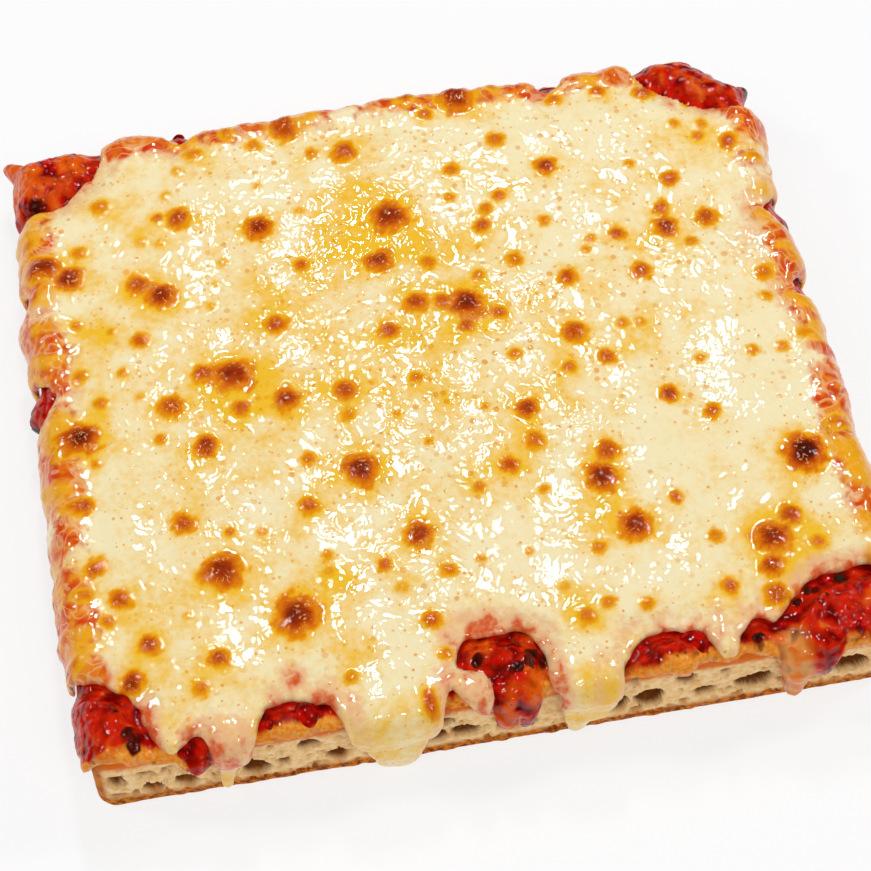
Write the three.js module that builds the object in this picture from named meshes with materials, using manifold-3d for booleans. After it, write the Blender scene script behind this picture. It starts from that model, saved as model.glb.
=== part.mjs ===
// A square slice of tray-baked pizza, cut from the edge of the tray: a bread base with an open
// crumb on its cut front face, a thin layer of tomato sauce, and melted mozzarella that runs
// down the front in drips and over the three baked sides.
//
// Millimetres, +Z up. The origin is under the middle of the slice, on the face it rests on.
// The cut face looks along -Y, and +X is to its right.
//
// Sauce and cheese are sheets. Each is first laid out flat, as on a tabletop, where a place is
// (across, along), and then wrapped over the bread: flat on its top, round its upper edges and
// down its sides. A sheet's outline is a distance that is negative inside the sheet.
import * as THREE from "three";
import { mergeVertices } from "three/addons/utils/BufferGeometryUtils.js";
import Module from "manifold-3d";

const wasm = await Module();
wasm.setup();

// Driving dimensions.
const BREAD_WIDTH = 145.8; // left side to right side
const BREAD_DEPTH = 135.0; // cut front face to baked back
const BREAD_THICKNESS = 16.8; // at the middle
const RISE_TO_RIGHT = 2.0; // how much thicker the right side is than the left
const RISE_TO_FRONT = 1.6; // how much thicker the front is than the back
const SIDE_ROUND = 4.2; // upper edge of a baked side
const CUT_ROUND = 2.0; // upper edge of the cut face
const CORNER_TURN = 1.2; // extra roundness of the corners in plan
const BACK_RIGHT_CUT = 7.7; // how much of the back right corner is missing, along each side
const BASE_ROUND_SIDE = 2.2; // lower edge of a baked side
const BASE_ROUND_CUT = 0.8; // lower edge of the cut face
const GAP = 0.32; // between bread and sauce, and sauce and cheese
const SAUCE_THICKNESS = 0.9; // under the cheese
const SAUCE_THINNED = 0.5; // down the baked sides
const SAUCE_LUMP = 2.0; // extra height of bare sauce
const SIDE_LOSS = 0.7; // share of that height that is missing down the baked sides
const CHEESE_THICKNESS = 2.3; // on top
const CHEESE_THINNED = 0.9; // down the baked sides
const CHEESE_RUNNING = 1.5; // down the cut face
const UNEVENNESS = 0.6; // how far the baked sides wander in and out

// Worked out from them.
const CORE_X = BREAD_WIDTH / 2 - SIDE_ROUND - CORNER_TURN;
const CORE_FRONT = -BREAD_DEPTH / 2 + CUT_ROUND + CORNER_TURN;
const CORE_BACK = BREAD_DEPTH / 2 - SIDE_ROUND - CORNER_TURN;
const CORE_CUT = CORE_X + CORE_BACK - BACK_RIGHT_CUT; // across plus along, on the missing corner
const FRONT_TOP = BREAD_THICKNESS + RISE_TO_FRONT / 2;
const CUT_FACE_TURN = CORE_FRONT - CORNER_TURN - (CUT_ROUND * Math.PI) / 2;

// How far along the laid-out sheet a height on the cut face lies.
const hang = (height) => CUT_FACE_TURN - (FRONT_TOP - CUT_ROUND - height);

// Melted cheese that runs over the cut face: lobes that stop at its upper edge, and drips.
// Each starts on top at [across, along] and ends at another such place, with a half width.
const CHEESE_RUNS = [
  { from: [-58.5, -58], half: 3.4, to: [-58.3, -61.8], end: 3.4 },
  { from: [-47.5, -59], half: 4.8, to: [-47.8, -66.3], end: 3.8 },
  { from: [-48.8, -66.5], half: 2.4, to: [-49.7, hang(7)], end: 1.7 },
  { from: [-19.8, -57], half: 12.4, to: [-19.5, hang(5.2)], end: 4.4 },
  { from: [-5.4, -64.6], half: 2.4, to: [-4.4, -65.6], end: 2.4 },
  { from: [14.8, -58], half: 7.5, to: [12.9, hang(5.2)], end: 2.1 },
  { from: [17.5, -59], half: 4.5, to: [16.6, hang(8.5)], end: 2.0 },
  { from: [41, -57], half: 5.0, to: [39.4, -62.8], end: 2.8 },
];

// Places where the cheese leaves the sauce bare: centre and half sizes in the laid-out sheet.
const BARE_SAUCE = [
  { at: [-77, 67], half: [20.5, 15.5] },
  { at: [77, 69.5], half: [25, 18] },
  { at: [-40.8, 68.5], half: [4.5, 4.5] },
  { at: [35.2, 68], half: [3.2, 4] },
  { at: [-77, -69], half: [16, 19] },
  { at: [-37.5, -67], half: [6.3, 4.8] },
  { at: [-8.5, -67.5], half: [2.4, 3] },
  { at: [-3.4, -59.6], half: [4.3, 3.9] },
  { at: [1.5, -63.5], half: [7.5, 7.4] },
  { at: [30, -66.5], half: [8, 5.5] },
  { at: [45.3, -67], half: [3.8, 5.5] },
  { at: [65, -68], half: [17, 13] },
  { at: [-79, 32.5], half: [6, 4] },
  { at: [-77, 9.5], half: [6.5, 5.5] },
  { at: [77, 7], half: [6.5, 4.5] },
  { at: [78, 27], half: [7.5, 5.5] },
];

// Pointed tips of bare sauce: centre, radius and extra height.
const SAUCE_TIPS = [
  { at: [-73.5, 68], radius: 3.6, rise: 3.2 },
  { at: [73.5, 57.5], radius: 2.6, rise: 1.6 },
  { at: [-77, 9], radius: 5.5, rise: 1.7 },
  { at: [-79, 31.5], radius: 5, rise: 1.3 },
  { at: [77.5, 7], radius: 5, rise: 1.4 },
  { at: [78, 26.5], radius: 5.5, rise: 1.5 },
];

// Sauce that runs down the cut face, as CHEESE_RUNS.
const SAUCE_RUNS = [
  { from: [-53.5, -62], half: 4.5, to: [-53.3, -68.6], end: 2.8 },
  { from: [-0.4, -62], half: 3.8, to: [-0.2, hang(12)], end: 2.1 },
  { from: [4.4, -62], half: 3.0, to: [3.6, hang(10.6)], end: 1.5 },
  { from: [51.2, -62], half: 4.0, to: [52.4, hang(5.2)], end: 1.9 },
  { from: [56.5, -62], half: 5.0, to: [56.5, hang(13.5)], end: 2.4 },
];

// Where the two sheets end when nothing runs: how far they reach past the flat top.
const CHEESE_REACH = { side: 11.5, back: 11, front: 0.2, corner: 12 };
const SAUCE_REACH = { side: 12.5, back: 12, front: 1.8, corner: 12 };
const LONGEST_REACH = 18; // room for the longest hem down a side
const HEM_WAVE = 1.7; // how far the sheets' ends wander
const CUT_HEM_SHARE = 0.3; // how much of that is left along the cut face
const MELT = 2.5; // how softly one run meets the next

// Relief of the two sheets.
const RIM_SHARE = 0.22; // how thick a sheet is at its outline, as a share of its thickness
const SAUCE_RIM_ROUND = 2.5; // how far in from the outline a sheet is rounded
const CHEESE_RIM_ROUND = 3.0;
const CHEESE_FEATHER = 5.5; // how far in it thins out softly towards bare sauce on top
const CHEESE_WAVE = 0.3; // slow rise and fall of the top
const SHOULDER_LUMP = 0.45; // lumps where the cheese turns down
const DRIP_SWELL = 1.0; // extra thickness low on the drips

// Blisters: domes on the cheese, [across, along, radius].
const BLISTERS = [
  [-37.5, 6, 3.8], [-48.5, 27, 2.8], [-28, 39.5, 2.8], [-43, 44.5, 2.5], [-2.5, 37.5, 3.6],
  [-6, 27.6, 2.6], [-28.5, -1.5, 2.6], [-8.5, 55.5, 2.6], [-50, 1.2, 2.5], [-17.5, -1, 2.3],
  [-1, 16, 2.5], [8.5, 14, 3.2], [30, 44, 2.2], [50.3, 25, 2.4], [58.5, 26, 2.2],
  [27.2, 3.5, 2.5], [43, 15.6, 2.1], [-44.5, -8.5, 2.3], [-17.5, -19, 3.2], [-50.5, -24.4, 2.2],
  [-45, -35.4, 3.6], [-9.5, -34.4, 2.7], [-33.5, -46.6, 4.0], [27.5, -23.6, 2.3],
  [25.3, -29, 3.1], [29, -39.8, 3.0], [15, -19, 2.2], [15, -11.8, 2.2],
];
const BLISTER_RISE = 0.32; // dome height for each millimetre of radius
const BLISTER_FOOT = 0.8; // how deep a dome's foot is sunk into the cheese

// Gas holes of the crumb on the cut face: [across, height, half width, half height].
const CRUMB_HOLES = [
  [-69, 9.5, 1.8, 2.6], [-62.8, 5, 1.9, 2.2], [-56.8, 5.7, 2.2, 2.6], [-44.5, 6.2, 2.4, 3.2],
  [-39.5, 6.8, 1.1, 1.8], [-35, 11.8, 2.2, 2.0], [-30, 6, 2.2, 2.2], [-11, 12, 2, 1.6],
  [-12.2, 6.9, 1.9, 2.6], [-7.2, 6.9, 2.6, 2.4], [2, 6.5, 4, 2.3], [20.5, 7.5, 2, 2.8],
  [26.2, 7.8, 3, 3.1], [32.5, 12.9, 2, 2], [36.3, 6.8, 2, 2], [45.2, 7.8, 3.8, 2.8],
  [62.5, 8.2, 3.4, 3.2],
];

// Sizes of the facets.
const FACET_ROOM = 0.25; // extra gap where facets cut across a round edge
const SHEET_STEP = 3.1; // across, and down the back
const TOP_STEP = 4.6; // along the top
const CUT_ROUND_STEP = 1.6; // round the upper edge of the cut face
const DRIP_STEP = 2.6; // down the cut face
const BREAD_STEP = 5.2;
const LEAST_CUT = 0.15; // share of a cell that an outline leaves at least
const SHORTEST_EDGE = 0.03; // what a join leaves shorter is merged away
const SNAP = 0.28; // share of a cell within which a lattice place moves onto the outline

const clamp = (value, low, high) => Math.min(Math.max(value, low), high);

function ease(value, start, end) {
  const part = clamp((value - start) / (end - start), 0, 1);
  return part * part * (3 - 2 * part);
}

// A slow irregular wave between about -1 and 1, the same wherever it is asked for again.
function wander(place, shift) {
  const slow = Math.sin(place / 9.1 + shift * 2.3);
  const middle = Math.sin(place / 4.7 + shift * 4.1);
  const quick = Math.sin(place / 2.6 + shift * 1.7);
  return 0.5 * slow + 0.32 * middle + 0.25 * quick;
}

// Height of the bread's flat top, which slopes a little up to the right and to the front.
function breadTop(across, along) {
  return BREAD_THICKNESS + (RISE_TO_RIGHT * across) / BREAD_WIDTH - (RISE_TO_FRONT * along) / BREAD_DEPTH;
}

// Moves a point in plan with the uneven baked sides. The cut face stays straight.
function uneven(point) {
  const sideways = ease(Math.abs(point.x), 30, BREAD_WIDTH / 2) * Math.sign(point.x);
  const backwards = ease(point.y, 30, BREAD_DEPTH / 2);
  const x = point.x + UNEVENNESS * sideways * wander(point.y, point.x > 0 ? 1 : 2);
  const y = point.y + UNEVENNESS * backwards * wander(point.x, 3);
  return new THREE.Vector3(x, y, point.z);
}

// The nearest place on the flat core of the top, a rectangle that lacks its back right corner.
function nearestCore(across, along) {
  const x = clamp(across, -CORE_X, CORE_X);
  const y = clamp(along, CORE_FRONT, CORE_BACK);
  if (x + y <= CORE_CUT) return [x, y];
  const onCut = clamp((across - along + CORE_CUT) / 2, CORE_CUT - CORE_BACK, CORE_X);
  return [onCut, CORE_CUT - onCut];
}

// Where a laid-out place lies on the wrapped bread: the nearest place on the flat core of the
// top, the direction away from it, and how far beyond the flat top the place is.
function wrapFrame(across, along) {
  const [x, y] = nearestCore(across, along);
  const away = Math.hypot(across - x, along - y);
  const beyond = away - CORNER_TURN;
  const side = away > 0 ? (across - x) / away : 0;
  const forth = away > 0 ? (along - y) / away : 0;
  return { x, y, side, forth, beyond };
}

// A direction's share, enlarged so that the corners are squarer in plan than plain arcs.
const squared = (share) => Math.sign(share) * Math.sqrt(Math.abs(share));

// The point at a height above the bread's skin at a laid-out place.
function wrap(across, along, height) {
  const frame = wrapFrame(across, along);
  if (frame.beyond <= 0) return uneven(new THREE.Vector3(across, along, breadTop(across, along) + height));
  const roundY = frame.forth < 0 ? CUT_ROUND : SIDE_ROUND;
  const round = Math.hypot(frame.side * SIDE_ROUND, frame.forth * roundY);
  const turn = Math.min(frame.beyond / round, Math.PI / 2);
  const drop = Math.max(0, frame.beyond - (round * Math.PI) / 2);
  const outX = (SIDE_ROUND + height) * Math.sin(turn);
  const outY = (roundY + height) * Math.sin(turn);
  const x = frame.x + frame.side * CORNER_TURN + squared(frame.side) * outX;
  const y = frame.y + frame.forth * CORNER_TURN + squared(frame.forth) * outY;
  const z = breadTop(x, y) - round + (round + height) * Math.cos(turn) - drop;
  return uneven(new THREE.Vector3(x, y, z));
}

// Distance to a rectangle with round corners that lacks its back right one.
function plateDistance(across, along, reach) {
  const halfX = CORE_X + CORNER_TURN + reach.side;
  const front = CORE_FRONT - CORNER_TURN - reach.front;
  const back = CORE_BACK + CORNER_TURN + reach.back;
  const x = Math.abs(across) - halfX + reach.corner;
  const y = Math.abs(along - (front + back) / 2) - (back - front) / 2 + reach.corner;
  const plate = Math.hypot(Math.max(x, 0), Math.max(y, 0)) + Math.min(Math.max(x, y), 0) - reach.corner;
  const beyondCut = (across + along - CORE_CUT) / Math.SQRT2 - CORNER_TURN - reach.side;
  return -melt(-plate, -beyondCut);
}

// Distance to a run: a round-ended stroke that narrows from its start to its end.
function runDistance(across, along, run) {
  const [x0, y0] = run.from;
  const [x1, y1] = run.to;
  const length = Math.hypot(x1 - x0, y1 - y0);
  const part = clamp(((across - x0) * (x1 - x0) + (along - y0) * (y1 - y0)) / length ** 2, 0, 1);
  const width = run.half + (run.end - run.half) * part;
  return Math.hypot(across - x0 - part * (x1 - x0), along - y0 - part * (y1 - y0)) - width;
}

function ovalDistance(across, along, oval) {
  const x = (across - oval.at[0]) / oval.half[0];
  const y = (along - oval.at[1]) / oval.half[1];
  return (Math.hypot(x, y) - 1) * Math.min(...oval.half);
}

// The smaller of two distances, with a soft passage between them.
function melt(first, second) {
  const part = clamp(0.5 + (0.5 * (second - first)) / MELT, 0, 1);
  return second + (first - second) * part - MELT * part * (1 - part);
}

// How far a sheet's outline wanders from its plain rectangle near a place.
function hemWave(across, along, shift) {
  const share = along < CORE_FRONT ? CUT_HEM_SHARE : 1;
  const outer = ease(Math.hypot(across, along), CORE_X * 0.6, CORE_X);
  return HEM_WAVE * share * outer * (wander(across, shift) + wander(along, shift + 1));
}

function cheeseDistance(across, along) {
  let distance = plateDistance(across, along, CHEESE_REACH) + hemWave(across, along, 5);
  for (const oval of BARE_SAUCE) distance = -melt(-distance, ovalDistance(across, along, oval));
  for (const run of CHEESE_RUNS) distance = melt(distance, runDistance(across, along, run));
  return distance;
}

function sauceDistance(across, along) {
  let distance = plateDistance(across, along, SAUCE_REACH) + hemWave(across, along, 7);
  for (const run of SAUCE_RUNS) distance = melt(distance, runDistance(across, along, run));
  return distance;
}

// Share of a sheet's full thickness: all of it inside, falling in a quarter round to the rim.
function rounded(distance, reach) {
  const inward = clamp(-distance / reach, 0, 1);
  return RIM_SHARE + (1 - RIM_SHARE) * Math.sqrt(1 - (1 - inward) ** 2);
}

// Extra gap under a sheet where its facets cut across a round edge of the bread.
const facetRoom = (across, along) => FACET_ROOM * ease(wrapFrame(across, along).beyond, -1, 2);

// Heights of the sheets' skins above the bread. Bare sauce heaps up in lumps, but only clear of
// the cheese's hem.
const sauceUnder = (across, along) => GAP + facetRoom(across, along);

// How far a place has turned down a baked side, from 0 on top and on the cut face to 1.
function sided(across, along) {
  const frame = wrapFrame(across, along);
  return ease(frame.beyond, 0, 5) * (1 - ease(-frame.forth, 0.2, 0.8));
}

function sauceThickness(across, along) {
  return SAUCE_THICKNESS + (SAUCE_THINNED - SAUCE_THICKNESS) * sided(across, along);
}

function sauceOver(across, along) {
  const bare = ease(cheeseDistance(across, along), SHEET_STEP * 1.5, SHEET_STEP * 2.3);
  const lumps = 0.75 + 0.4 * wander(across * 1.6, 9) * wander(along * 1.6, 10);
  const heaped = bare * lumps * (1 - SIDE_LOSS * sided(across, along));
  let height = sauceThickness(across, along) + SAUCE_LUMP * heaped;
  for (const tip of SAUCE_TIPS) {
    const spread = Math.hypot(across - tip.at[0], along - tip.at[1]) / tip.radius;
    height += bare * tip.rise * (1 - ease(spread, 0.1, 1));
  }
  return sauceUnder(across, along) + height * rounded(sauceDistance(across, along), SAUCE_RIM_ROUND);
}

// The cheese lies on the sauce, and where a run goes past the sauce it lies on the bread.
function cheeseUnder(across, along) {
  const offSauce = ease(sauceDistance(across, along), SHEET_STEP * 1.1, SHEET_STEP * 2);
  const onSauce = GAP + sauceThickness(across, along) + GAP + 2 * facetRoom(across, along);
  return onSauce + (GAP + FACET_ROOM - onSauce) * offSauce;
}

// Share of the cheese's full thickness: a quarter round where it hangs, a soft feather on top.
function cheeseShare(across, along) {
  const distance = cheeseDistance(across, along);
  const hanging = Math.max(ease(wrapFrame(across, along).beyond, -2, 1), ease(-along, 58, 65));
  const feather = RIM_SHARE + (1 - RIM_SHARE) * ease(-distance, -1.5, CHEESE_FEATHER);
  return feather + (rounded(distance, CHEESE_RIM_ROUND) - feather) * hanging;
}

function cheeseOver(across, along) {
  const folded = ease(wrapFrame(across, along).beyond, 0, 5);
  const thinned = CHEESE_RUNNING + (CHEESE_THINNED - CHEESE_RUNNING) * sided(across, along);
  const plain = CHEESE_THICKNESS + (thinned - CHEESE_THICKNESS) * folded;
  const wave = CHEESE_WAVE * (1 - folded) * (wander(across, 11) + wander(along * 0.9, 12));
  const shoulder = ease(Math.abs(across), CORE_X - 4, CORE_X + 4) + ease(along, CORE_BACK - 2, CORE_BACK + 4);
  const lumps = SHOULDER_LUMP * shoulder * wander(along * 1.4 + across, 13);
  const swell = DRIP_SWELL * ease(CUT_FACE_TURN - along, 3, 9);
  const height = plain + wave + lumps + swell;
  return cheeseUnder(across, along) + height * cheeseShare(across, along);
}

// Turns positions and triangle corners into a solid.
function solidOf(positions, corners) {
  const mesh = new wasm.Mesh({
    numProp: 3,
    vertProperties: new Float32Array(positions),
    triVerts: new Uint32Array(corners),
  });
  return new wasm.Manifold(mesh);
}

function solidOfGeometry(geometry) {
  geometry.deleteAttribute("normal");
  geometry.deleteAttribute("uv");
  const merged = mergeVertices(geometry, 1e-4);
  return solidOf(merged.attributes.position.array, merged.index.array);
}

function geometryOf(solid) {
  const mesh = solid.asOriginal().simplify(SHORTEST_EDGE).getMesh();
  const geometry = new THREE.BufferGeometry();
  geometry.setAttribute("position", new THREE.BufferAttribute(mesh.vertProperties, 3));
  geometry.setIndex(new THREE.BufferAttribute(mesh.triVerts, 1));
  geometry.computeVertexNormals();
  return geometry;
}

// Places at an even step that include both ends.
function steps(low, high, step) {
  const count = Math.ceil((high - low) / step);
  return Array.from({ length: count + 1 }, (unused, index) => low + ((high - low) * index) / count);
}

// Moves a laid-out place onto the sheet's outline, a few times towards lower distance.
function ontoOutline(place, distance) {
  const delta = 0.01;
  let [across, along] = place;
  for (let round = 0; round < 4; round += 1) {
    const here = distance(across, along);
    const slopeX = (distance(across + delta, along) - here) / delta;
    const slopeY = (distance(across, along + delta) - here) / delta;
    const steep = Math.max(slopeX ** 2 + slopeY ** 2, 0.2);
    across -= (here * slopeX) / steep;
    along -= (here * slopeY) / steep;
  }
  return [across, along];
}

// The place between two others where the distance crosses zero.
function crossing(inside, outside, distance) {
  let [near, far] = [0, 1];
  const at = (part) => inside.map((value, axis) => value + (outside[axis] - value) * part);
  for (let round = 0; round < 14; round += 1) {
    const middle = (near + far) / 2;
    if (distance(...at(middle)) < 0) near = middle;
    else far = middle;
  }
  return at(Math.max((near + far) / 2, LEAST_CUT));
}

// A place on the outline round which the sheet lies in more than one separate group of cells
// would pinch the sheet to a point or an edge. It becomes a place inside, which keeps it joined.
function keepNecks(lattice) {
  const isInside = (i, j) => lattice[i]?.[j]?.sign === -1;
  let changed = false;
  lattice.forEach((column, i) => column.forEach((node, j) => {
    if (node.sign !== 0) return;
    const quarters = [[1, 1], [-1, 1], [-1, -1], [1, -1]];
    const isFilled = ([x, y]) => isInside(i + x, j) || isInside(i, j + y) || isInside(i + x, j + y);
    const filled = quarters.map(isFilled);
    const arms = [[0, 1], [-1, 0], [0, -1], [1, 0]];
    const joints = arms.filter(([x, y], k) => filled[k] && filled[(k + 1) % 4] && isInside(i + x, j + y));
    const groups = filled.filter(Boolean).length - joints.length;
    if (groups < 2) return;
    node.sign = -1;
    changed = true;
  }));
  if (changed) keepNecks(lattice);
}

// A closed wrapped sheet. A lattice of rows and columns covers the laid-out sheet and is cut
// along its outline. Every place inside has a point on the upper and one on the lower skin, and
// a place on the outline has one point that both skins share. Where `flat` holds for a skin, its
// middle is one flat patch with corners on its border only.
function wrappedSheet({ distance, under, over, columns, rows, flat, flatSkins }) {
  const points = [];
  const corners = [];
  const pointOf = (place, height) => points.push(wrap(...place, height)) - 1;
  const rim = (place) => {
    const low = under(...place);
    const shared = pointOf(place, low + 0.5 * (over(...place) - low));
    return { upper: shared, lower: shared, inside: false };
  };
  const lattice = columns.map((across) => rows.map((along, j) => {
    const here = distance(across, along);
    const cell = Math.min(along - (rows[j - 1] ?? -Infinity), (rows[j + 1] ?? Infinity) - along, SHEET_STEP);
    if (Math.abs(here) < SNAP * cell) return { place: ontoOutline([across, along], distance), sign: 0 };
    return { place: [across, along], sign: here < 0 ? -1 : 1 };
  }));
  keepNecks(lattice);
  const cuts = new Map();
  const pairAt = (i, j) => {
    const node = lattice[i][j];
    if (node.pair) return node.pair;
    if (node.sign === 0) node.pair = rim(node.place);
    else {
      const low = under(...node.place);
      const lower = pointOf(node.place, low);
      node.pair = { upper: pointOf(node.place, over(...node.place)), lower, inside: true };
    }
    return node.pair;
  };
  const cutAt = (a, b) => {
    const [first, second] = lattice[a[0]][a[1]].sign < 0 ? [a, b] : [b, a];
    const key = [...first, ...second].join(" ");
    const placeOf = ([i, j]) => lattice[i][j].place;
    if (!cuts.has(key)) cuts.set(key, rim(crossing(placeOf(first), placeOf(second), distance)));
    return cuts.get(key);
  };
  const inFlat = (i, j) => i >= flat.left && i < flat.right && j >= flat.front && j < flat.back;
  const face = (skin, a, b, c) => {
    if (skin === "upper") corners.push(a.upper, b.upper, c.upper);
    else corners.push(a.lower, c.lower, b.lower);
  };
  for (let i = 0; i + 1 < columns.length; i += 1) {
    for (let j = 0; j + 1 < rows.length; j += 1) {
      const ring = [[i, j], [i + 1, j], [i + 1, j + 1], [i, j + 1]];
      const outline = [];
      ring.forEach((here, index) => {
        const next = ring[(index + 1) % 4];
        const sign = lattice[here[0]][here[1]].sign;
        const nextSign = lattice[next[0]][next[1]].sign;
        if (sign <= 0) outline.push(pairAt(...here));
        if (sign * nextSign < 0) outline.push(cutAt(here, next));
      });
      const apex = outline.findIndex((pair) => pair.inside);
      if (outline.length < 3 || apex < 0) continue;
      const fan = [...outline.slice(apex), ...outline.slice(0, apex)];
      for (const skin of ["upper", "lower"]) {
        if (flatSkins.includes(skin) && inFlat(i, j)) continue;
        for (let k = 1; k + 1 < fan.length; k += 1) face(skin, fan[0], fan[k], fan[k + 1]);
      }
    }
  }
  const border = [];
  for (let i = flat.left; i < flat.right; i += 1) border.push([i, flat.front]);
  for (let j = flat.front; j < flat.back; j += 1) border.push([flat.right, j]);
  for (let i = flat.right; i > flat.left; i -= 1) border.push([i, flat.back]);
  for (let j = flat.back; j > flat.front; j -= 1) border.push([flat.left, j]);
  const borderPlaces = border.map(([i, j]) => new THREE.Vector2(...lattice[i][j].place));
  const borderPairs = border.map(([i, j]) => pairAt(i, j));
  for (const skin of flatSkins) {
    for (const [a, b, c] of THREE.ShapeUtils.triangulateShape(borderPlaces, [])) {
      face(skin, borderPairs[a], borderPairs[b], borderPairs[c]);
    }
  }
  return solidOf(points.flatMap((point) => point.toArray()), corners);
}

// The lattice both sheets use: even columns, and closer rows where they hang down the cut face.
function sheetLattice() {
  const halfWidth = CORE_X + CORNER_TURN + LONGEST_REACH;
  const columns = steps(-halfWidth, halfWidth, SHEET_STEP);
  const rows = [
    ...steps(hang(-1), CUT_FACE_TURN, DRIP_STEP),
    ...steps(CUT_FACE_TURN, CORE_FRONT - CORNER_TURN, CUT_ROUND_STEP).slice(1),
    ...steps(CORE_FRONT - CORNER_TURN, CORE_CUT - CORE_X, TOP_STEP).slice(1),
    ...steps(CORE_CUT - CORE_X, CORE_BACK + CORNER_TURN + LONGEST_REACH, SHEET_STEP).slice(1),
  ];
  return { columns, rows };
}

// The first lattice line at or beyond a place.
const lineAt = (lines, place) => lines.findIndex((line) => line >= place);

// The rectangle of lattice cells whose skin can be one flat patch.
function flatPatch({ columns, rows }, left, right, front, back) {
  return {
    left: lineAt(columns, left),
    right: lineAt(columns, right) - 1,
    front: lineAt(rows, front),
    back: lineAt(rows, back) - 1,
  };
}

function sauceSolid() {
  const lattice = sheetLattice();
  return wrappedSheet({
    distance: sauceDistance,
    under: sauceUnder,
    over: sauceOver,
    ...lattice,
    flat: flatPatch(lattice, -55, 45, -44, 50),
    flatSkins: ["upper", "lower"],
  });
}

// A low dome on the cheese with its foot sunk into it.
function blisterSolid([across, along, radius]) {
  const dome = new THREE.SphereGeometry(radius, 9, 4, 0, Math.PI * 2, 0, Math.PI / 2);
  const foot = new THREE.CircleGeometry(radius, 9);
  const rise = radius * BLISTER_RISE + BLISTER_FOOT;
  dome.scale(1, rise / radius, 1).rotateX(Math.PI / 2);
  foot.rotateX(Math.PI).rotateZ(Math.PI);
  const top = wrap(across, along, cheeseOver(across, along));
  const position = [...dome.attributes.position.array, ...foot.attributes.position.array];
  const offset = dome.attributes.position.count;
  const geometry = new THREE.BufferGeometry();
  geometry.setAttribute("position", new THREE.Float32BufferAttribute(position, 3));
  geometry.setIndex([...dome.index.array, ...Array.from(foot.index.array, (value) => value + offset)]);
  geometry.translate(top.x, top.y, top.z - BLISTER_FOOT);
  return solidOfGeometry(geometry);
}

function cheeseSolid() {
  const lattice = sheetLattice();
  const sheet = wrappedSheet({
    distance: cheeseDistance,
    under: cheeseUnder,
    over: cheeseOver,
    ...lattice,
    flat: flatPatch(lattice, -55, 46, -51, 54),
    flatSkins: ["lower"],
  });
  return BLISTERS.reduce((whole, blister) => whole.add(blisterSolid(blister)), sheet);
}

// Points round the bread in plan: the flat top's corner arcs joined by straight stretches.
function breadRing() {
  const corners = [
    { x: -CORE_X, y: CORE_FRONT, start: -4, end: -2 },
    { x: CORE_X, y: CORE_FRONT, start: -2, end: 0 },
    { x: CORE_X, y: CORE_CUT - CORE_X, start: 0, end: 1 },
    { x: CORE_CUT - CORE_BACK, y: CORE_BACK, start: 1, end: 2 },
    { x: -CORE_X, y: CORE_BACK, start: 2, end: 4 },
  ];
  return corners.flatMap(({ x, y, start, end }, index) => {
    const arc = steps(start, end, 0.5).map((eighth) => ({ x, y, angle: (eighth * Math.PI) / 4 }));
    const next = corners[(index + 1) % corners.length];
    const parts = steps(0, 1, BREAD_STEP / Math.hypot(next.x - x, next.y - y)).slice(1, -1);
    const straight = parts.map((part) => ({
      x: x + (next.x - x) * part,
      y: y + (next.y - y) * part,
      angle: (end * Math.PI) / 4,
    }));
    return [...arc, ...straight];
  });
}

// The bread's section at one place of the ring, from the edge of its flat top down to its base.
function breadSection({ x, y, angle }) {
  const side = Math.cos(angle);
  const forth = Math.sin(angle);
  const roundY = forth < 0 ? CUT_ROUND : SIDE_ROUND;
  const round = Math.hypot(side * SIDE_ROUND, forth * roundY);
  const baseRoundY = forth < 0 ? BASE_ROUND_CUT : BASE_ROUND_SIDE;
  const base = Math.hypot(side * BASE_ROUND_SIDE, forth * baseRoundY);
  const section = [];
  const add = (outX, outY, z) => {
    const placeX = x + side * CORNER_TURN + squared(side) * outX;
    const placeY = y + forth * CORNER_TURN + squared(forth) * outY;
    section.push(uneven(new THREE.Vector3(placeX, placeY, z)));
  };
  for (let k = 0; k <= 3; k += 1) {
    const turn = (k * Math.PI) / 6;
    const out = Math.sin(turn);
    const top = breadTop(x + side * CORNER_TURN, y + forth * CORNER_TURN);
    add(SIDE_ROUND * out, roundY * out, top - round * (1 - Math.cos(turn)));
  }
  for (let k = 0; k <= 2; k += 1) {
    const turn = (k * Math.PI) / 4;
    const inward = 1 - Math.cos(turn);
    add(SIDE_ROUND - base * inward, roundY - base * inward, base * (1 - Math.sin(turn)));
  }
  return section;
}

function breadSolid() {
  const sections = breadRing().map(breadSection);
  const height = sections[0].length;
  const points = sections.flat();
  const corners = [];
  sections.forEach((section, index) => {
    const here = index * height;
    const next = ((index + 1) % sections.length) * height;
    for (let k = 0; k + 1 < height; k += 1) {
      corners.push(here + k, here + k + 1, next + k + 1, here + k, next + k + 1, next + k);
    }
  });
  const capAt = (level) => sections.map((section) => new THREE.Vector2(section[level].x, section[level].y));
  for (const [a, b, c] of THREE.ShapeUtils.triangulateShape(capAt(0), [])) {
    corners.push(a * height, b * height, c * height);
  }
  for (const [a, b, c] of THREE.ShapeUtils.triangulateShape(capAt(height - 1), [])) {
    corners.push(a * height + height - 1, c * height + height - 1, b * height + height - 1);
  }
  const loaf = solidOf(points.flatMap((point) => point.toArray()), corners);
  return CRUMB_HOLES.reduce((whole, hole) => whole.subtract(crumbHole(hole)), loaf);
}

// A gas hole of the crumb, opened by the knife about halfway.
function crumbHole([across, height, halfWidth, halfHeight]) {
  const deep = (halfWidth + halfHeight) * 0.6;
  const bubble = new THREE.SphereGeometry(1, 8, 6);
  bubble.scale(halfWidth, deep, halfHeight);
  bubble.translate(across, -BREAD_DEPTH / 2 + deep * 0.1, height);
  return solidOfGeometry(bubble);
}

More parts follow.
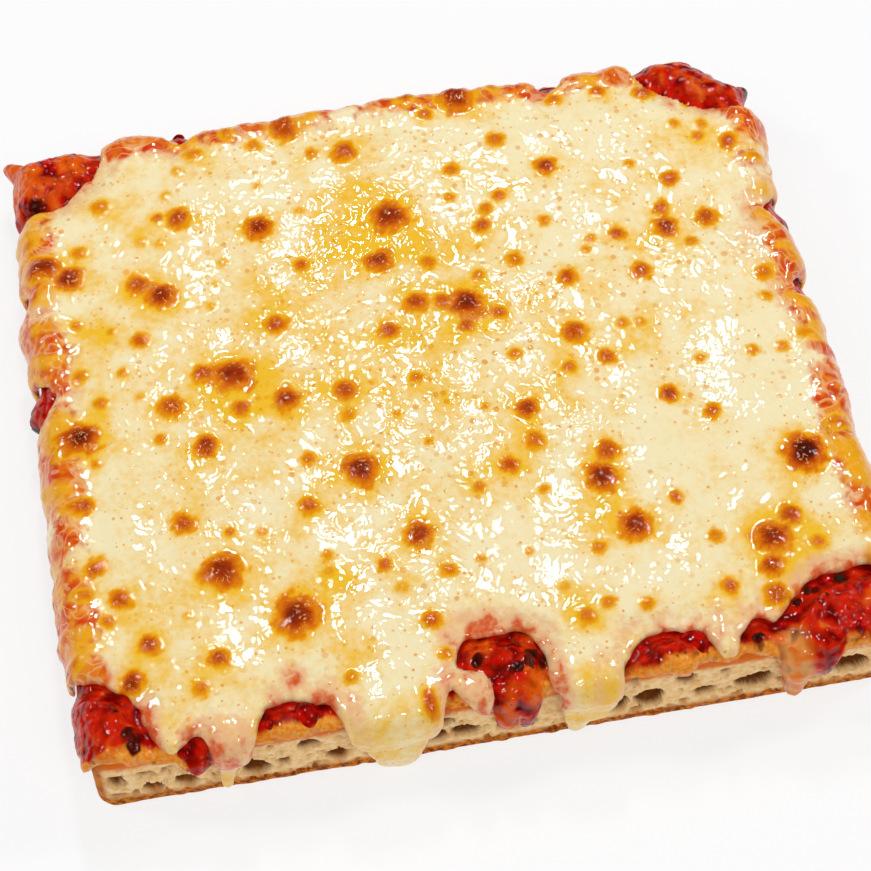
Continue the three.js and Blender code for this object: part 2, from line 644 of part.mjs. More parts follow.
function named(name, solid, color, roughness) {
  const material = new THREE.MeshStandardMaterial({ color, roughness, metalness: 0 });
  const mesh = new THREE.Mesh(geometryOf(solid), material);
  mesh.name = name;
  return mesh;
}

const pizzaSlice = new THREE.Group();
pizzaSlice.add(named("bread_base", breadSolid(), 0xe2b877, 0.8));
pizzaSlice.add(named("tomato_sauce", sauceSolid(), 0xb3200c, 0.35));
pizzaSlice.add(named("mozzarella", cheeseSolid(), 0xf4dfa3, 0.4));

export default pizzaSlice;
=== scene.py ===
# %% [markdown]
# # A square slice of tray pizza
# The slice is three layers: a bread base whose front face was cut with a knife, a thin layer of
# tomato sauce, and a sheet of mozzarella that melted over everything and browned in the oven.
# The solids of the three layers are loaded first. They fix every size here, and each of them is
# replaced by a finer surface that is worked out from the same named sizes and formulas.

# %% Load the solids
import itertools

import bpy
import numpy as np
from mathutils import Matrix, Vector


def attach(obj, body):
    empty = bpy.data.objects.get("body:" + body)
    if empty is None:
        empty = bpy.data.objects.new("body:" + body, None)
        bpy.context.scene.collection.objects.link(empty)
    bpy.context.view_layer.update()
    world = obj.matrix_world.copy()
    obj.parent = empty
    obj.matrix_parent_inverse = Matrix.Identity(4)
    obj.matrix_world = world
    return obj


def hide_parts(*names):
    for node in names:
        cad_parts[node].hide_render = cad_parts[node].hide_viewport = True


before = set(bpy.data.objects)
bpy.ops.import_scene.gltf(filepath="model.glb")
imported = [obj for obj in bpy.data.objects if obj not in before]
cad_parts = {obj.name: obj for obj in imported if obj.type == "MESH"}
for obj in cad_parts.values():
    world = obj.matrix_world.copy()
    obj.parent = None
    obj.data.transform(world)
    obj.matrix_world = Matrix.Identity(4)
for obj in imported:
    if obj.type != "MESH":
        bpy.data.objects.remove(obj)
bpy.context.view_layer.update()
print("solids:", sorted(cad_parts))

# %% [markdown]
# ## Camera
# Someone about to eat looks steeply down at a slice, so that its top fills the view and the cut
# face still shows. The camera looks down at about 58 degrees, from a little left of the middle.
# It is placed at a given point and turned with `to_track_quat`, which aims its -Z axis.

# %% Camera
CAMERA_PLACE = Vector((-0.04552, -0.24665, 0.39359))  # metres
CAMERA_TARGET = Vector((-0.000391, -0.001387, 0.0))
SENSOR_WIDTH = 36.0  # millimetres
FRAME_PIXELS = 871
FOCAL_PIXELS = 2400

camera_data = bpy.data.cameras.new("camera")
camera_data.sensor_width = SENSOR_WIDTH
camera_data.lens = FOCAL_PIXELS / FRAME_PIXELS * SENSOR_WIDTH
camera_data.clip_start = 0.01
camera = bpy.data.objects.new("camera", camera_data)
camera.location = CAMERA_PLACE
camera.rotation_euler = (CAMERA_TARGET - CAMERA_PLACE).to_track_quat("-Z", "Y").to_euler()
bpy.context.scene.collection.objects.link(camera)
bpy.context.scene.camera = camera
print("camera lens:", round(camera_data.lens, 1), "mm")

# %% [markdown]
# ## Light
# Melted cheese looks wet only when it mirrors something small and bright, while all else that it
# mirrors stays dark, or a pale veil would lie on its colours. So four softboxes stand round the
# slice. The main one stands behind it, at the angle that the flat top mirrors towards the
# camera, and draws broken white streaks down its middle, and the others give each lump its
# glints. Two wide suns and the surroundings fill the shade, and are left out of all mirror images.

# %% Softboxes, suns and surroundings
# Softboxes: place in metres, width, length, power in watts.
SOFTBOXES = {
    "back softbox": ((0.075, 0.55, 0.84), 0.085, 0.17, 2.7),
    "right softbox": ((0.75, 0.15, 0.68), 0.13, 0.13, 2.15),
    "left softbox": ((-0.72, 0.2, 0.72), 0.13, 0.13, 2.15),
    "front softbox": ((0.12, -0.62, 0.86), 0.11, 0.11, 1.35),
}
SUN_WIDTH = 24  # degrees
# Suns: direction and strength.
SUNS = {
    "front right sun": ((0.5, -0.7, 0.9), 0.46),
    "front left sun": ((-0.6, -0.5, 0.9), 0.46),
}
AMBIENT = 0.16


def lamp(name, kind, place, **settings):
    """A lamp of one kind at a place, turned towards the origin."""
    data = bpy.data.lights.new(name, kind)
    for key, value in settings.items():
        setattr(data, key, value)
    made = bpy.data.objects.new(name, data)
    made.location = place
    made.rotation_euler = (-place).to_track_quat("-Z", "Y").to_euler()
    bpy.context.scene.collection.objects.link(made)
    return made


for name, (place, width, length, power) in SOFTBOXES.items():
    lamp(name, "AREA", Vector(place), shape="RECTANGLE", size=width, size_y=length, energy=power)
for name, (direction, strength) in SUNS.items():
    sun = lamp(name, "SUN", Vector(direction), energy=strength, angle=np.radians(SUN_WIDTH))
    sun.visible_glossy = False

world = bpy.data.worlds.new("dim surroundings")
world.use_nodes = True
world.node_tree.nodes["Background"].inputs["Color"].default_value = (1.0, 1.0, 1.0, 1.0)
world.node_tree.nodes["Background"].inputs["Strength"].default_value = AMBIENT
world.cycles_visibility.glossy = False
bpy.context.scene.world = world
bpy.context.scene.view_settings.view_transform = "Standard"

# %% [markdown]
# ## Waves, hills and lumps
# Food has no straight line in it. Three helpers make every unevenness: `wander` is a slow wave
# that the solids use too, so both follow the same edges, `mottle` is a field of random hills of
# one size, and `cells` packs round lumps against each other, with creases where they meet. All
# give the same result at each run.

# %% A smooth step and a slow wave
def ease(value, start, end):
    """A smooth step from 0 at start to 1 at end: part squared times (3 - 2 part)."""
    part = np.clip((value - start) / (end - start), 0, 1)
    return part * part * (3 - 2 * part)


def wander(place, shift):
    """A slow irregular wave between about -1 and 1: the sum of three sines."""
    slow = np.sin(place / 9.1 + shift * 2.3)
    middle = np.sin(place / 4.7 + shift * 4.1)
    quick = np.sin(place / 2.6 + shift * 1.7)
    return 0.5 * slow + 0.32 * middle + 0.25 * quick


print("wave at 0, 10 and 20 mm:", wander(np.array([0, 10, 20]), 1).round(2))

# %% Random hills and packed lumps
GRID = 64  # squares each way, after which a random pattern repeats


def mottle(x, y, size, seed):
    """Random hills between -1 and 1: random heights on a turned square grid, eased between."""
    heights = np.random.default_rng(seed).uniform(-1, 1, (GRID, GRID))
    cos, sin = np.cos(seed * 1.3), np.sin(seed * 1.3)
    u = (x * cos - y * sin) / size
    v = (x * sin + y * cos) / size
    i = np.floor(u).astype(int)
    j = np.floor(v).astype(int)
    s = ease(u - i, 0, 1)
    t = ease(v - j, 0, 1)
    left, right, front, back = i % GRID, (i + 1) % GRID, j % GRID, (j + 1) % GRID
    near = heights[left, front] * (1 - s) + heights[right, front] * s
    far = heights[left, back] * (1 - s) + heights[right, back] * s
    return near * (1 - t) + far * t


def cells(x, y, size, seed):
    """Round lumps between 0 and 1 round random points, one in each square of a turned grid."""
    shifts = np.random.default_rng(seed).uniform(0.1, 0.9, (2, GRID, GRID))
    cos, sin = np.cos(seed * 0.7), np.sin(seed * 0.7)
    u = (x * cos - y * sin) / size
    v = (x * sin + y * cos) / size
    i = np.floor(u).astype(int)
    j = np.floor(v).astype(int)
    nearest = np.ones_like(u)
    for di, dj in itertools.product((-1, 0, 1), repeat=2):
        shift_u, shift_v = shifts[:, (i + di) % GRID, (j + dj) % GRID]
        away_u = i + di + shift_u - u
        away_v = j + dj + shift_v - v
        nearest = np.minimum(nearest, np.hypot(away_u, away_v))
    return np.sqrt(1 - nearest**2)


print("hill at 0, 2 and 4 mm:", mottle(np.array([0, 2, 4]), 0, 5, 1).round(2))

# %% Helper that makes a piece from arrays
MILLIMETRE = 0.001


def new_piece(name, points, faces, layers):
    """A mesh object from points in millimetres and blocks of faces, with one attribute a layer."""
    used = np.unique(np.concatenate([block.ravel() for block in faces]))
    renumber = np.zeros(len(points), int)
    renumber[used] = np.arange(len(used))
    corners = [face for block in faces for face in renumber[block].tolist()]
    mesh = bpy.data.meshes.new(name)
    mesh.from_pydata((points[used] * MILLIMETRE).tolist(), [], corners)
    mesh.shade_smooth()
    for layer, values in layers.items():
        kind, field = ("FLOAT_VECTOR", "vector") if values.ndim > 1 else ("FLOAT", "value")
        attribute = mesh.attributes.new(layer, kind, "POINT")
        attribute.data.foreach_set(field, values[used].astype(np.float32).ravel())
    piece = bpy.data.objects.new(name, mesh)
    bpy.context.scene.collection.objects.link(piece)
    triangles = sum(len(face) - 2 for face in corners)
    print(f"{name}: {len(used)} points, {triangles} triangles")
    return piece


# %% [markdown]
# ## The bread's shape
# Everything on the slice follows the bread, so the bread's shape comes first, as a formula. A
# place on the layers is given as on a sheet laid out flat on a table, (across, along), in
# millimetres. `wrap` lays that sheet over the bread: flat on its top, round its upper edges
# and down its sides. The sizes are those of the solids.

# %% Sizes of the bread
BREAD_WIDTH = 145.8
BREAD_DEPTH = 135.0
BREAD_THICKNESS = 16.8
RISE_TO_RIGHT = 2.0
RISE_TO_FRONT = 1.6
SIDE_ROUND = 4.2
CUT_ROUND = 2.0
CORNER_TURN = 1.2
BACK_RIGHT_CUT = 7.7
BASE_ROUND_SIDE = 2.2
BASE_ROUND_CUT = 0.8
UNEVENNESS = 0.6
CORE_X = BREAD_WIDTH / 2 - SIDE_ROUND - CORNER_TURN
CORE_FRONT = -BREAD_DEPTH / 2 + CUT_ROUND + CORNER_TURN
CORE_BACK = BREAD_DEPTH / 2 - SIDE_ROUND - CORNER_TURN
CORE_CUT = CORE_X + CORE_BACK - BACK_RIGHT_CUT
FRONT_TOP = BREAD_THICKNESS + RISE_TO_FRONT / 2
CUT_FACE_TURN = CORE_FRONT - CORNER_TURN - CUT_ROUND * np.pi / 2
print("bread:", BREAD_WIDTH, "x", BREAD_DEPTH, "x", BREAD_THICKNESS, "mm")

# %% The flat top and the uneven sides
def bread_top(across, along):
    """Height of the flat top, which slopes a little up to the right and to the front."""
    return BREAD_THICKNESS + RISE_TO_RIGHT * across / BREAD_WIDTH - RISE_TO_FRONT * along / BREAD_DEPTH


def uneven(x, y, z):
    """The points moved in plan with the uneven baked sides. The cut face stays straight."""
    sideways = ease(np.abs(x), 30, BREAD_WIDTH / 2) * np.sign(x)
    backwards = ease(y, 30, BREAD_DEPTH / 2)
    shift_x = UNEVENNESS * sideways * np.where(x > 0, wander(y, 1), wander(y, 2))
    shift_y = UNEVENNESS * backwards * wander(x, 3)
    return np.stack([x + shift_x, y + shift_y, z], axis=-1)


def nearest_core(across, along):
    """The nearest place on the top's flat core, a rectangle that lacks its back right corner."""
    x = np.clip(across, -CORE_X, CORE_X)
    y = np.clip(along, CORE_FRONT, CORE_BACK)
    on_cut = np.clip((across - along + CORE_CUT) / 2, CORE_CUT - CORE_BACK, CORE_X)
    beyond_cut = x + y > CORE_CUT
    return np.where(beyond_cut, on_cut, x), np.where(beyond_cut, CORE_CUT - on_cut, y)


def squared(share):
    """A direction's share, enlarged so that the corners are squarer in plan than plain arcs."""
    return np.sign(share) * np.sqrt(np.abs(share))


print("top at the front right:", round(bread_top(CORE_X, CORE_FRONT), 1), "mm high")

# %% Laying a sheet over the bread
def wrap_frame(across, along):
    """Nearest place on the top's flat core, the direction away from it, and how far beyond."""
    x, y = nearest_core(across, along)
    away = np.maximum(np.hypot(across - x, along - y), 1e-9)
    return x, y, (across - x) / away, (along - y) / away, away - CORNER_TURN


def wrap(across, along, height):
    """Points at a height above the bread: flat on top, an arc round the edge, then straight down."""
    x, y, side, forth, beyond = wrap_frame(across, along)
    round_y = np.where(forth < 0, CUT_ROUND, SIDE_ROUND)
    edge_round = np.maximum(np.hypot(side * SIDE_ROUND, forth * round_y), 1e-6)
    turn = np.clip(beyond / edge_round, 0, np.pi / 2)
    drop = np.maximum(0, beyond - edge_round * np.pi / 2)
    out_x = x + side * CORNER_TURN + squared(side) * (SIDE_ROUND + height) * np.sin(turn)
    out_y = y + forth * CORNER_TURN + squared(forth) * (round_y + height) * np.sin(turn)
    out_z = bread_top(out_x, out_y) - edge_round + (edge_round + height) * np.cos(turn) - drop
    flat = beyond <= 0
    x = np.where(flat, across, out_x)
    y = np.where(flat, along, out_y)
    z = np.where(flat, bread_top(across, along) + height, out_z)
    return uneven(x, y, z)


def hang(height):
    """How far along the laid-out sheet a height on the cut face lies."""
    return CUT_FACE_TURN - (FRONT_TOP - CUT_ROUND - height)


print("the cut face ends at", round(hang(0), 1), "mm along the laid-out sheet")

# %% [markdown]
# ## The bread base
# The cut face shows the crumb: a web of gas bubbles that the knife opened halfway, with a few
# large ones and many pores. The other three sides and the base are baked crust. The surface
# could be a block with a displacement map, but real hollows cast real shadows, so it is
# made as a ring of sections, and the hollows push the section inwards on the cut face.

# %% Hollows of the crumb
# Gas holes on the cut face: [across, height, half width, half height].
CRUMB_HOLES = [
    [-69, 9.5, 1.8, 2.6], [-62.8, 5, 1.9, 2.2], [-56.8, 5.7, 2.2, 2.6], [-44.5, 6.2, 2.4, 3.2],
    [-39.5, 6.8, 1.1, 1.8], [-35, 11.8, 2.2, 2.0], [-30, 6, 2.2, 2.2], [-11, 12, 2, 1.6],
    [-12.2, 6.9, 1.9, 2.6], [-7.2, 6.9, 2.6, 2.4], [2, 6.5, 4, 2.3], [20.5, 7.5, 2, 2.8],
    [26.2, 7.8, 3, 3.1], [32.5, 12.9, 2, 2], [36.3, 6.8, 2, 2], [45.2, 7.8, 3.8, 2.8],
    [62.5, 8.2, 3.4, 3.2],
]
# Smaller ones that the solids leave out.
SMALL_HOLES = [
    [-69.5, 4, 1.3, 1.2], [-66, 4, 0.7, 1.2], [-53, 3.3, 0.5, 0.5], [-34, 3.8, 1, 0.8],
    [23, 15, 1, 1.5], [39.5, 13.3, 1, 1.3], [24, 4, 1.3, 1], [32.7, 4.3, 1, 1],
    [42.5, 3.8, 1.2, 1], [-60, 11.5, 1, 0.8], [-49.5, 9.5, 1.4, 1], [-25, 10, 1.5, 1.3],
    [-64, 11, 1.6, 1.2], [51, 11.5, 1.4, 1.2], [56.5, 5.5, 1.2, 1.3], [55, 12.5, 1.7, 1.2],
]
PORES = 420
PORE_SEED = 11
PORE_REACH = 70
print("gas holes:", len(CRUMB_HOLES) + len(SMALL_HOLES), "pores:", PORES)

# %% Depth of the hollows
def hole_depth(across, height, hole):
    """Depth of one hollow: half an ellipsoid with a slightly uneven outline."""
    x, z, half_width, half_height = hole
    turn = np.arctan2(height - z, across - x)
    wobble = 1 + 0.07 * np.sin(2 * turn + x) + 0.06 * np.sin(3 * turn + 2 * x)
    wobble = wobble + 0.03 * np.sin(5 * turn + 3 * x)
    spread = np.hypot((across - x) / half_width, (height - z) / half_height) * wobble
    return 0.65 * (half_width + half_height) * np.clip(1 - spread**2, 0, 1) ** 0.45


def crumb_depth(across, height):
    """Depth of the crumb's hollows on the cut face, the deepest one at each place."""
    draws = np.random.default_rng(PORE_SEED)
    depth = np.zeros_like(across)
    for hole in CRUMB_HOLES + SMALL_HOLES:
        depth = np.maximum(depth, hole_depth(across, height, hole))
    for _ in range(PORES):
        x = draws.uniform(-PORE_REACH, PORE_REACH)
        z = 1.8 + 13.5 * draws.beta(1.0, 1.3)
        size = 0.3 + 0.75 * draws.beta(1.2, 4)
        near = (np.abs(across - x) < 2 * size) & (np.abs(height - z) < 2 * size)
        flatness = draws.uniform(0.7, 1.5)
        pore = hole_depth(across[near], height[near], (x, z, size * flatness, size))
        depth[near] = np.maximum(depth[near], pore)
    return depth


# %% Sections round the bread
FRONT_STEP = 0.32
CRUST_STEP = 0.8
CORNER_STEPS = 7
WALL_ROWS = 46
EDGE_ROWS = 9
BASE_ROWS = 5
CRUST_RELIEF = 0.35


def bread_ring():
    """Places round the bread in plan: five corner arcs joined by straight stretches."""
    corners = [
        (-CORE_X, CORE_FRONT, -4, -2), (CORE_X, CORE_FRONT, -2, 0), (CORE_X, CORE_CUT - CORE_X, 0, 1),
        (CORE_CUT - CORE_BACK, CORE_BACK, 1, 2), (-CORE_X, CORE_BACK, 2, 4),
    ]
    stretches = []
    for number, (x, y, start, end) in enumerate(corners):
        angles = np.linspace(start, end, CORNER_STEPS * (end - start) + 1) * np.pi / 4
        stretches.append(np.stack([np.full_like(angles, x), np.full_like(angles, y), angles], axis=1))
        next_x, next_y = corners[(number + 1) % len(corners)][:2]
        step = FRONT_STEP if number == 0 else CRUST_STEP
        count = int(round(np.hypot(next_x - x, next_y - y) / step))
        part = np.arange(1, count) / count
        angle = np.full_like(part, end * np.pi / 4)
        stretches.append(np.stack([x + (next_x - x) * part, y + (next_y - y) * part, angle], axis=1))
    return np.concatenate(stretches).T


def bread_profile(x, y, side, forth):
    """Each section at its place of the ring: an arc, a straight wall and a base arc."""
    round_y = np.where(forth < 0, CUT_ROUND, SIDE_ROUND)
    edge_round = np.hypot(side * SIDE_ROUND, forth * round_y)
    base_round_y = np.where(forth < 0, BASE_ROUND_CUT, BASE_ROUND_SIDE)
    base_round = np.hypot(side * BASE_ROUND_SIDE, forth * base_round_y)
    top = bread_top(x + side * CORNER_TURN, y + forth * CORNER_TURN)
    turn = np.linspace(0, np.pi / 2, EDGE_ROWS)[None, :]
    part = np.linspace(0, 1, WALL_ROWS + 2)[None, 1:-1]
    base_turn = np.linspace(0, np.pi / 2, BASE_ROWS)[None, :]
    wall = np.zeros_like(part)
    inward = base_round * (1 - np.cos(base_turn))
    out_x = np.hstack([SIDE_ROUND * np.sin(turn) + 0 * x, SIDE_ROUND + wall + 0 * x, SIDE_ROUND - inward])
    out_y = np.hstack([round_y * np.sin(turn), round_y + wall, round_y - inward])
    wall_top = top - edge_round
    height = np.hstack([
        top - edge_round * (1 - np.cos(turn)),
        wall_top + (base_round - wall_top) * part,
        base_round * (1 - np.sin(base_turn)),
    ])
    place_x = x + side * CORNER_TURN + squared(side) * out_x
    place_y = y + forth * CORNER_TURN + squared(forth) * out_y
    return place_x, place_y, height, top


print("sections:", bread_ring().shape[1])

# %% Bread surface
def bread_surface():
    """Points and attributes of the bread: its sections with hollows, grain and baked lumps."""
    x, y, angle = (row[:, None] for row in bread_ring())
    side = np.cos(angle)
    forth = np.sin(angle)
    place_x, place_y, height, top = bread_profile(x, y, side, forth)
    cut = ease(-forth, 0.75, 0.97)
    around = np.where(np.abs(side) > 0.7, place_y, place_x)
    body = ease(height, 0.0, 1.2) * ease(top - height, 0.6, 2.6)
    crumb = crumb_depth(place_x, height) * ease(height, 1.0, 1.8) * ease(top - height, 0.9, 2.2)
    grain = 0.13 * mottle(place_x, height, 0.9, 5) + 0.16 * mottle(place_x, height, 2.6, 6)
    crust = 0.6 * mottle(around, height * 0.8, 4.5, 7) + 0.4 * mottle(around, height, 1.7, 8)
    push = cut * (-crumb + grain * body) + (1 - cut) * CRUST_RELIEF * crust * body
    foot = ease(height, 2.6, 1.2) * ease(height, 0.1, 0.7)
    push = push + 0.5 * np.clip(mottle(around, height, 2.4, 14), 0, 1) * foot
    points = uneven(place_x + side * push, place_y + forth * push, height)
    layers = {
        # The pore depth below is darkened by the material: painted shade in the hollows.
        "pore": cut * np.clip(crumb / 1.6, 0, 1),
        "cut": cut * np.ones_like(height),
        "below_top": top - height,
    }
    return points, layers


def bread_piece():
    """The ring of sections as a closed mesh, capped above and below."""
    points, layers = bread_surface()
    count, rows = points.shape[:2]
    number = np.arange(count * rows).reshape(count, rows)
    following = np.roll(number, -1, axis=0)
    walls = np.stack([number[:, :-1], number[:, 1:], following[:, 1:], following[:, :-1]], axis=-1)
    caps = [number[:, 0][None, :], number[::-1, -1][None, :]]
    flat_layers = {name: values.ravel() for name, values in layers.items()}
    return new_piece("bread_base_baked", points.reshape(-1, 3), [walls.reshape(-1, 4), *caps], flat_layers)


bread = bread_piece()

# %% [markdown]
# ## Outlines of the two sheets
# Sauce and cheese are sheets with ragged outlines. An outline is easiest to shape as a distance
# that is negative inside: a rounded rectangle, minus the ovals where the sauce stays bare, plus
# the runs that drip over the cut face, all melted together with a soft minimum. The numbers are
# those of the solids; a finer wave is added where the solids' facets could not show it.

# %% Runs and bare places
# Runs: a stroke from one place to another, with half its width at its start and at its end.
CHEESE_RUNS = [
    {"from": (-58.5, -58), "half": 3.4, "to": (-58.3, -61.8), "end": 3.4},
    {"from": (-47.5, -59), "half": 4.8, "to": (-47.8, -66.3), "end": 3.8},
    {"from": (-49, -67), "half": 1.5, "to": (-49.8, hang(6.2)), "end": 1.3},
    {"from": (-19.8, -57), "half": 12.4, "to": (-19.5, hang(5.2)), "end": 4.4},
    {"from": (-5.4, -64.6), "half": 2.4, "to": (-4.4, -65.6), "end": 2.4},
    {"from": (14.8, -58), "half": 7.5, "to": (12.9, hang(5.2)), "end": 2.1},
    {"from": (17.5, -59), "half": 4.5, "to": (16.6, hang(8.5)), "end": 2.0},
    {"from": (41, -57), "half": 5.0, "to": (39.4, -62.8), "end": 2.8},
]
# Ovals without cheese: centre and half sizes.
BARE_SAUCE = [
    {"at": (-77, 67), "half": (20.5, 15.5)},
    {"at": (77, 69.5), "half": (25, 18)},
    {"at": (-40.8, 68.5), "half": (4.5, 4.5)},
    {"at": (35.2, 68), "half": (3.2, 4)},
    {"at": (-77, -69), "half": (16, 19)},
    {"at": (-37.5, -67), "half": (6.3, 4.8)},
    {"at": (-8.5, -67.5), "half": (2.4, 3)},
    {"at": (-3.4, -59.6), "half": (4.3, 3.9)},
    {"at": (1.5, -63.5), "half": (7.5, 7.4)},
    {"at": (30, -66.5), "half": (8, 5.5)},
    {"at": (45.3, -67), "half": (3.8, 5.5)},
    {"at": (65, -68), "half": (17, 13)},
    {"at": (-79, 32.5), "half": (6, 4)},
    {"at": (-77, 9.5), "half": (6.5, 5.5)},
    {"at": (77, 7), "half": (6.5, 4.5)},
    {"at": (78, 27), "half": (7.5, 5.5)},
]
# Places where the bare sauce heaps up further: centre, radius and extra height.
SAUCE_TIPS = [
    {"at": (-73.5, 68), "radius": 3.6, "rise": 3.2},
    {"at": (73.5, 57.5), "radius": 2.6, "rise": 1.6},
    {"at": (-77, 9), "radius": 5.5, "rise": 1.7},
    {"at": (-79, 31.5), "radius": 5, "rise": 1.3},
    {"at": (77.5, 7), "radius": 5, "rise": 1.4},
    {"at": (78, 26.5), "radius": 5.5, "rise": 1.5},
]
SAUCE_RUNS = [
    {"from": (-53.5, -62), "half": 4.5, "to": (-53.3, -68.6), "end": 2.8},
    {"from": (-0.4, -62), "half": 3.8, "to": (-0.2, hang(12)), "end": 2.1},
    {"from": (4.4, -62), "half": 3.0, "to": (3.6, hang(10.6)), "end": 1.5},
    {"from": (51.2, -62), "half": 4.0, "to": (52.4, hang(5.2)), "end": 1.9},
    {"from": (56.5, -62), "half": 5.0, "to": (56.5, hang(13.5)), "end": 2.4},
]
print("runs:", len(CHEESE_RUNS) + len(SAUCE_RUNS), "bare places:", len(BARE_SAUCE))

# %% Distances to simple shapes
# How far each sheet goes past the bread's flat core, and how round its corners are.
CHEESE_REACH = {"side": 11.5, "back": 11, "front": 0.2, "corner": 12}
SAUCE_REACH = {"side": 12.5, "back": 12, "front": 1.8, "corner": 12}
LONGEST_REACH = 18
HEM_WAVE = 1.7
CUT_HEM_SHARE = 0.3
MELT = 2.5
FINE_HEM = 0.75


def plate_distance(across, along, reach):
    """Distance to a rectangle with round corners that lacks its back right one."""
    half_x = CORE_X + CORNER_TURN + reach["side"]
    front = CORE_FRONT - CORNER_TURN - reach["front"]
    back = CORE_BACK + CORNER_TURN + reach["back"]
    x = np.abs(across) - half_x + reach["corner"]
    y = np.abs(along - (front + back) / 2) - (back - front) / 2 + reach["corner"]
    plate = np.hypot(np.maximum(x, 0), np.maximum(y, 0)) + np.minimum(np.maximum(x, y), 0) - reach["corner"]
    beyond_cut = (across + along - CORE_CUT) / np.sqrt(2) - CORNER_TURN - reach["side"]
    return -melt(-plate, -beyond_cut)


def run_distance(across, along, run):
    """Distance to a round-ended stroke that narrows from its start to its end."""
    (x0, y0), (x1, y1) = run["from"], run["to"]
    length = np.hypot(x1 - x0, y1 - y0)
    part = np.clip(((across - x0) * (x1 - x0) + (along - y0) * (y1 - y0)) / length**2, 0, 1)
    width = run["half"] + (run["end"] - run["half"]) * part
    return np.hypot(across - x0 - part * (x1 - x0), along - y0 - part * (y1 - y0)) - width


def oval_distance(across, along, oval):
    """Distance to an oval, near enough: its own measure less 1, times the smaller half size."""
    x = (across - oval["at"][0]) / oval["half"][0]
    y = (along - oval["at"][1]) / oval["half"][1]
    return (np.hypot(x, y) - 1) * min(oval["half"])


def melt(first, second):
    """The smaller of two distances, with a soft passage between them."""
    part = np.clip(0.5 + 0.5 * (second - first) / MELT, 0, 1)
    return second + (first - second) * part - MELT * part * (1 - part)


# %% Outlines of cheese and sauce
def hem_wave(across, along, shift):
    """How far a sheet's outline wanders from its plain rectangle near a place."""
    share = np.where(along < CORE_FRONT, CUT_HEM_SHARE, 1)
    outer = ease(np.hypot(across, along), CORE_X * 0.6, CORE_X)
    return HEM_WAVE * share * outer * (wander(across, shift) + wander(along, shift + 1))


def fine_hem(across, along, seed):
    """A closer wave of the outline, weaker where runs hang down the cut face."""
    share = np.where(along < CUT_FACE_TURN, 0.35, 1)
    wave = 0.7 * mottle(across, along, 3.6, seed) + 0.4 * mottle(across, along, 1.7, seed + 1)
    return FINE_HEM * share * wave


def cheese_distance(across, along):
    """The plate with its wave, less the bare ovals, plus the runs."""
    distance = plate_distance(across, along, CHEESE_REACH) + hem_wave(across, along, 5)
    for oval in BARE_SAUCE:
        distance = -melt(-distance, oval_distance(across, along, oval))
    for run in CHEESE_RUNS:
        distance = melt(distance, run_distance(across, along, run))
    return distance + fine_hem(across, along, 21)


def sauce_distance(across, along):
    """The plate with its wave, plus the runs."""
    distance = plate_distance(across, along, SAUCE_REACH) + hem_wave(across, along, 7)
    for run in SAUCE_RUNS:
        distance = melt(distance, run_distance(across, along, run))
    return distance + fine_hem(across, along, 23)


def area(distance):
    """Area inside an outline in square centimetres, counted at every millimetre."""
    across, along = np.meshgrid(np.arange(-90.0, 90.0), np.arange(-90.0, 90.0))
    return round((distance(across, along) < 0).sum() / 100)


print("laid out in square cm: sauce", area(sauce_distance), "and cheese", area(cheese_distance))

# %% [markdown]
# ## A closed sheet
# Both sheets are made the same way. A square lattice covers the laid-out sheet. Cells wholly
# inside the outline become quads, and cells that it crosses are trimmed to it. Every place
# inside has a point on the upper and one on the lower skin, and both skins share the points on
# the outline, so the sheet is closed. Where a skin is hidden and flat, one large face is enough.

# %% Trimmed lattice
LEAST_CUT = 0.14
HALVINGS = 10
CELL = 0.62
AROUND = [(0, 0), (1, 0), (1, 1), (0, 1)]


def crossing(inside, outside, distance):
    """Places on the outline between pairs of places, found by halving."""
    near = np.zeros(len(inside))
    far = np.ones(len(inside))
    for _ in range(HALVINGS):
        middle = (near + far) / 2
        place = inside + (outside - inside) * middle[:, None]
        within = distance(place[:, 0], place[:, 1]) < 0
        near = np.where(within, middle, near)
        far = np.where(within, far, middle)
    part = np.clip((near + far) / 2, LEAST_CUT, 1 - LEAST_CUT)
    return inside + (outside - inside) * part[:, None]


def outline_cuts(across, along, inside, distance):
    """Places where the outline crosses the lattice's edges, and each edge's place number."""
    places = []
    numbers = []
    following = 2 * inside.size
    for step in ((1, 0), (0, 1)):
        first = np.s_[: inside.shape[0] - step[0], : inside.shape[1] - step[1]]
        second = np.s_[step[0] :, step[1] :]
        crossed = inside[first] != inside[second]
        one = np.stack([across[first][crossed], along[first][crossed]], axis=1)
        other = np.stack([across[second][crossed], along[second][crossed]], axis=1)
        starts_inside = inside[first][crossed][:, None]
        within = np.where(starts_inside, one, other)
        outside = np.where(starts_inside, other, one)
        places.append(crossing(within, outside, distance))
        edges = np.full(crossed.shape, -1)
        edges[crossed] = following + np.arange(crossed.sum())
        following += crossed.sum()
        numbers.append(edges)
    return places, numbers


# %% Faces of the lattice
def patch_border(patch):
    """Lattice places round a patch, as a pair of index arrays."""
    left, right, front, back = patch
    i = np.concatenate([
        np.arange(left, right), np.full(back - front, right),
        np.arange(right, left, -1), np.full(back - front, left),
    ])
    j = np.concatenate([
        np.full(right - left, front), np.arange(front, back),
        np.full(right - left, back), np.arange(back, front, -1),
    ])
    return i, j


def cell_ring(pattern, i, j, upper, cuts):
    """Pairs of an upper and a lower point round cells whose corners lie inside by one pattern."""
    edges = [(cuts[0], 0, 0), (cuts[1], 1, 0), (cuts[0], 0, 1), (cuts[1], 0, 0)]
    ring = []
    for k, (di, dj) in enumerate(AROUND):
        if pattern[k]:
            corner = upper[i + di, j + dj]
            ring.append((corner, corner + upper.size))
        if pattern[k] != pattern[(k + 1) % 4]:
            numbers, di, dj = edges[k]
            ring.append((numbers[i + di, j + dj],) * 2)
    start = next(k for k, pair in enumerate(ring) if pair[0] is not pair[1])
    return ring[start:] + ring[:start]


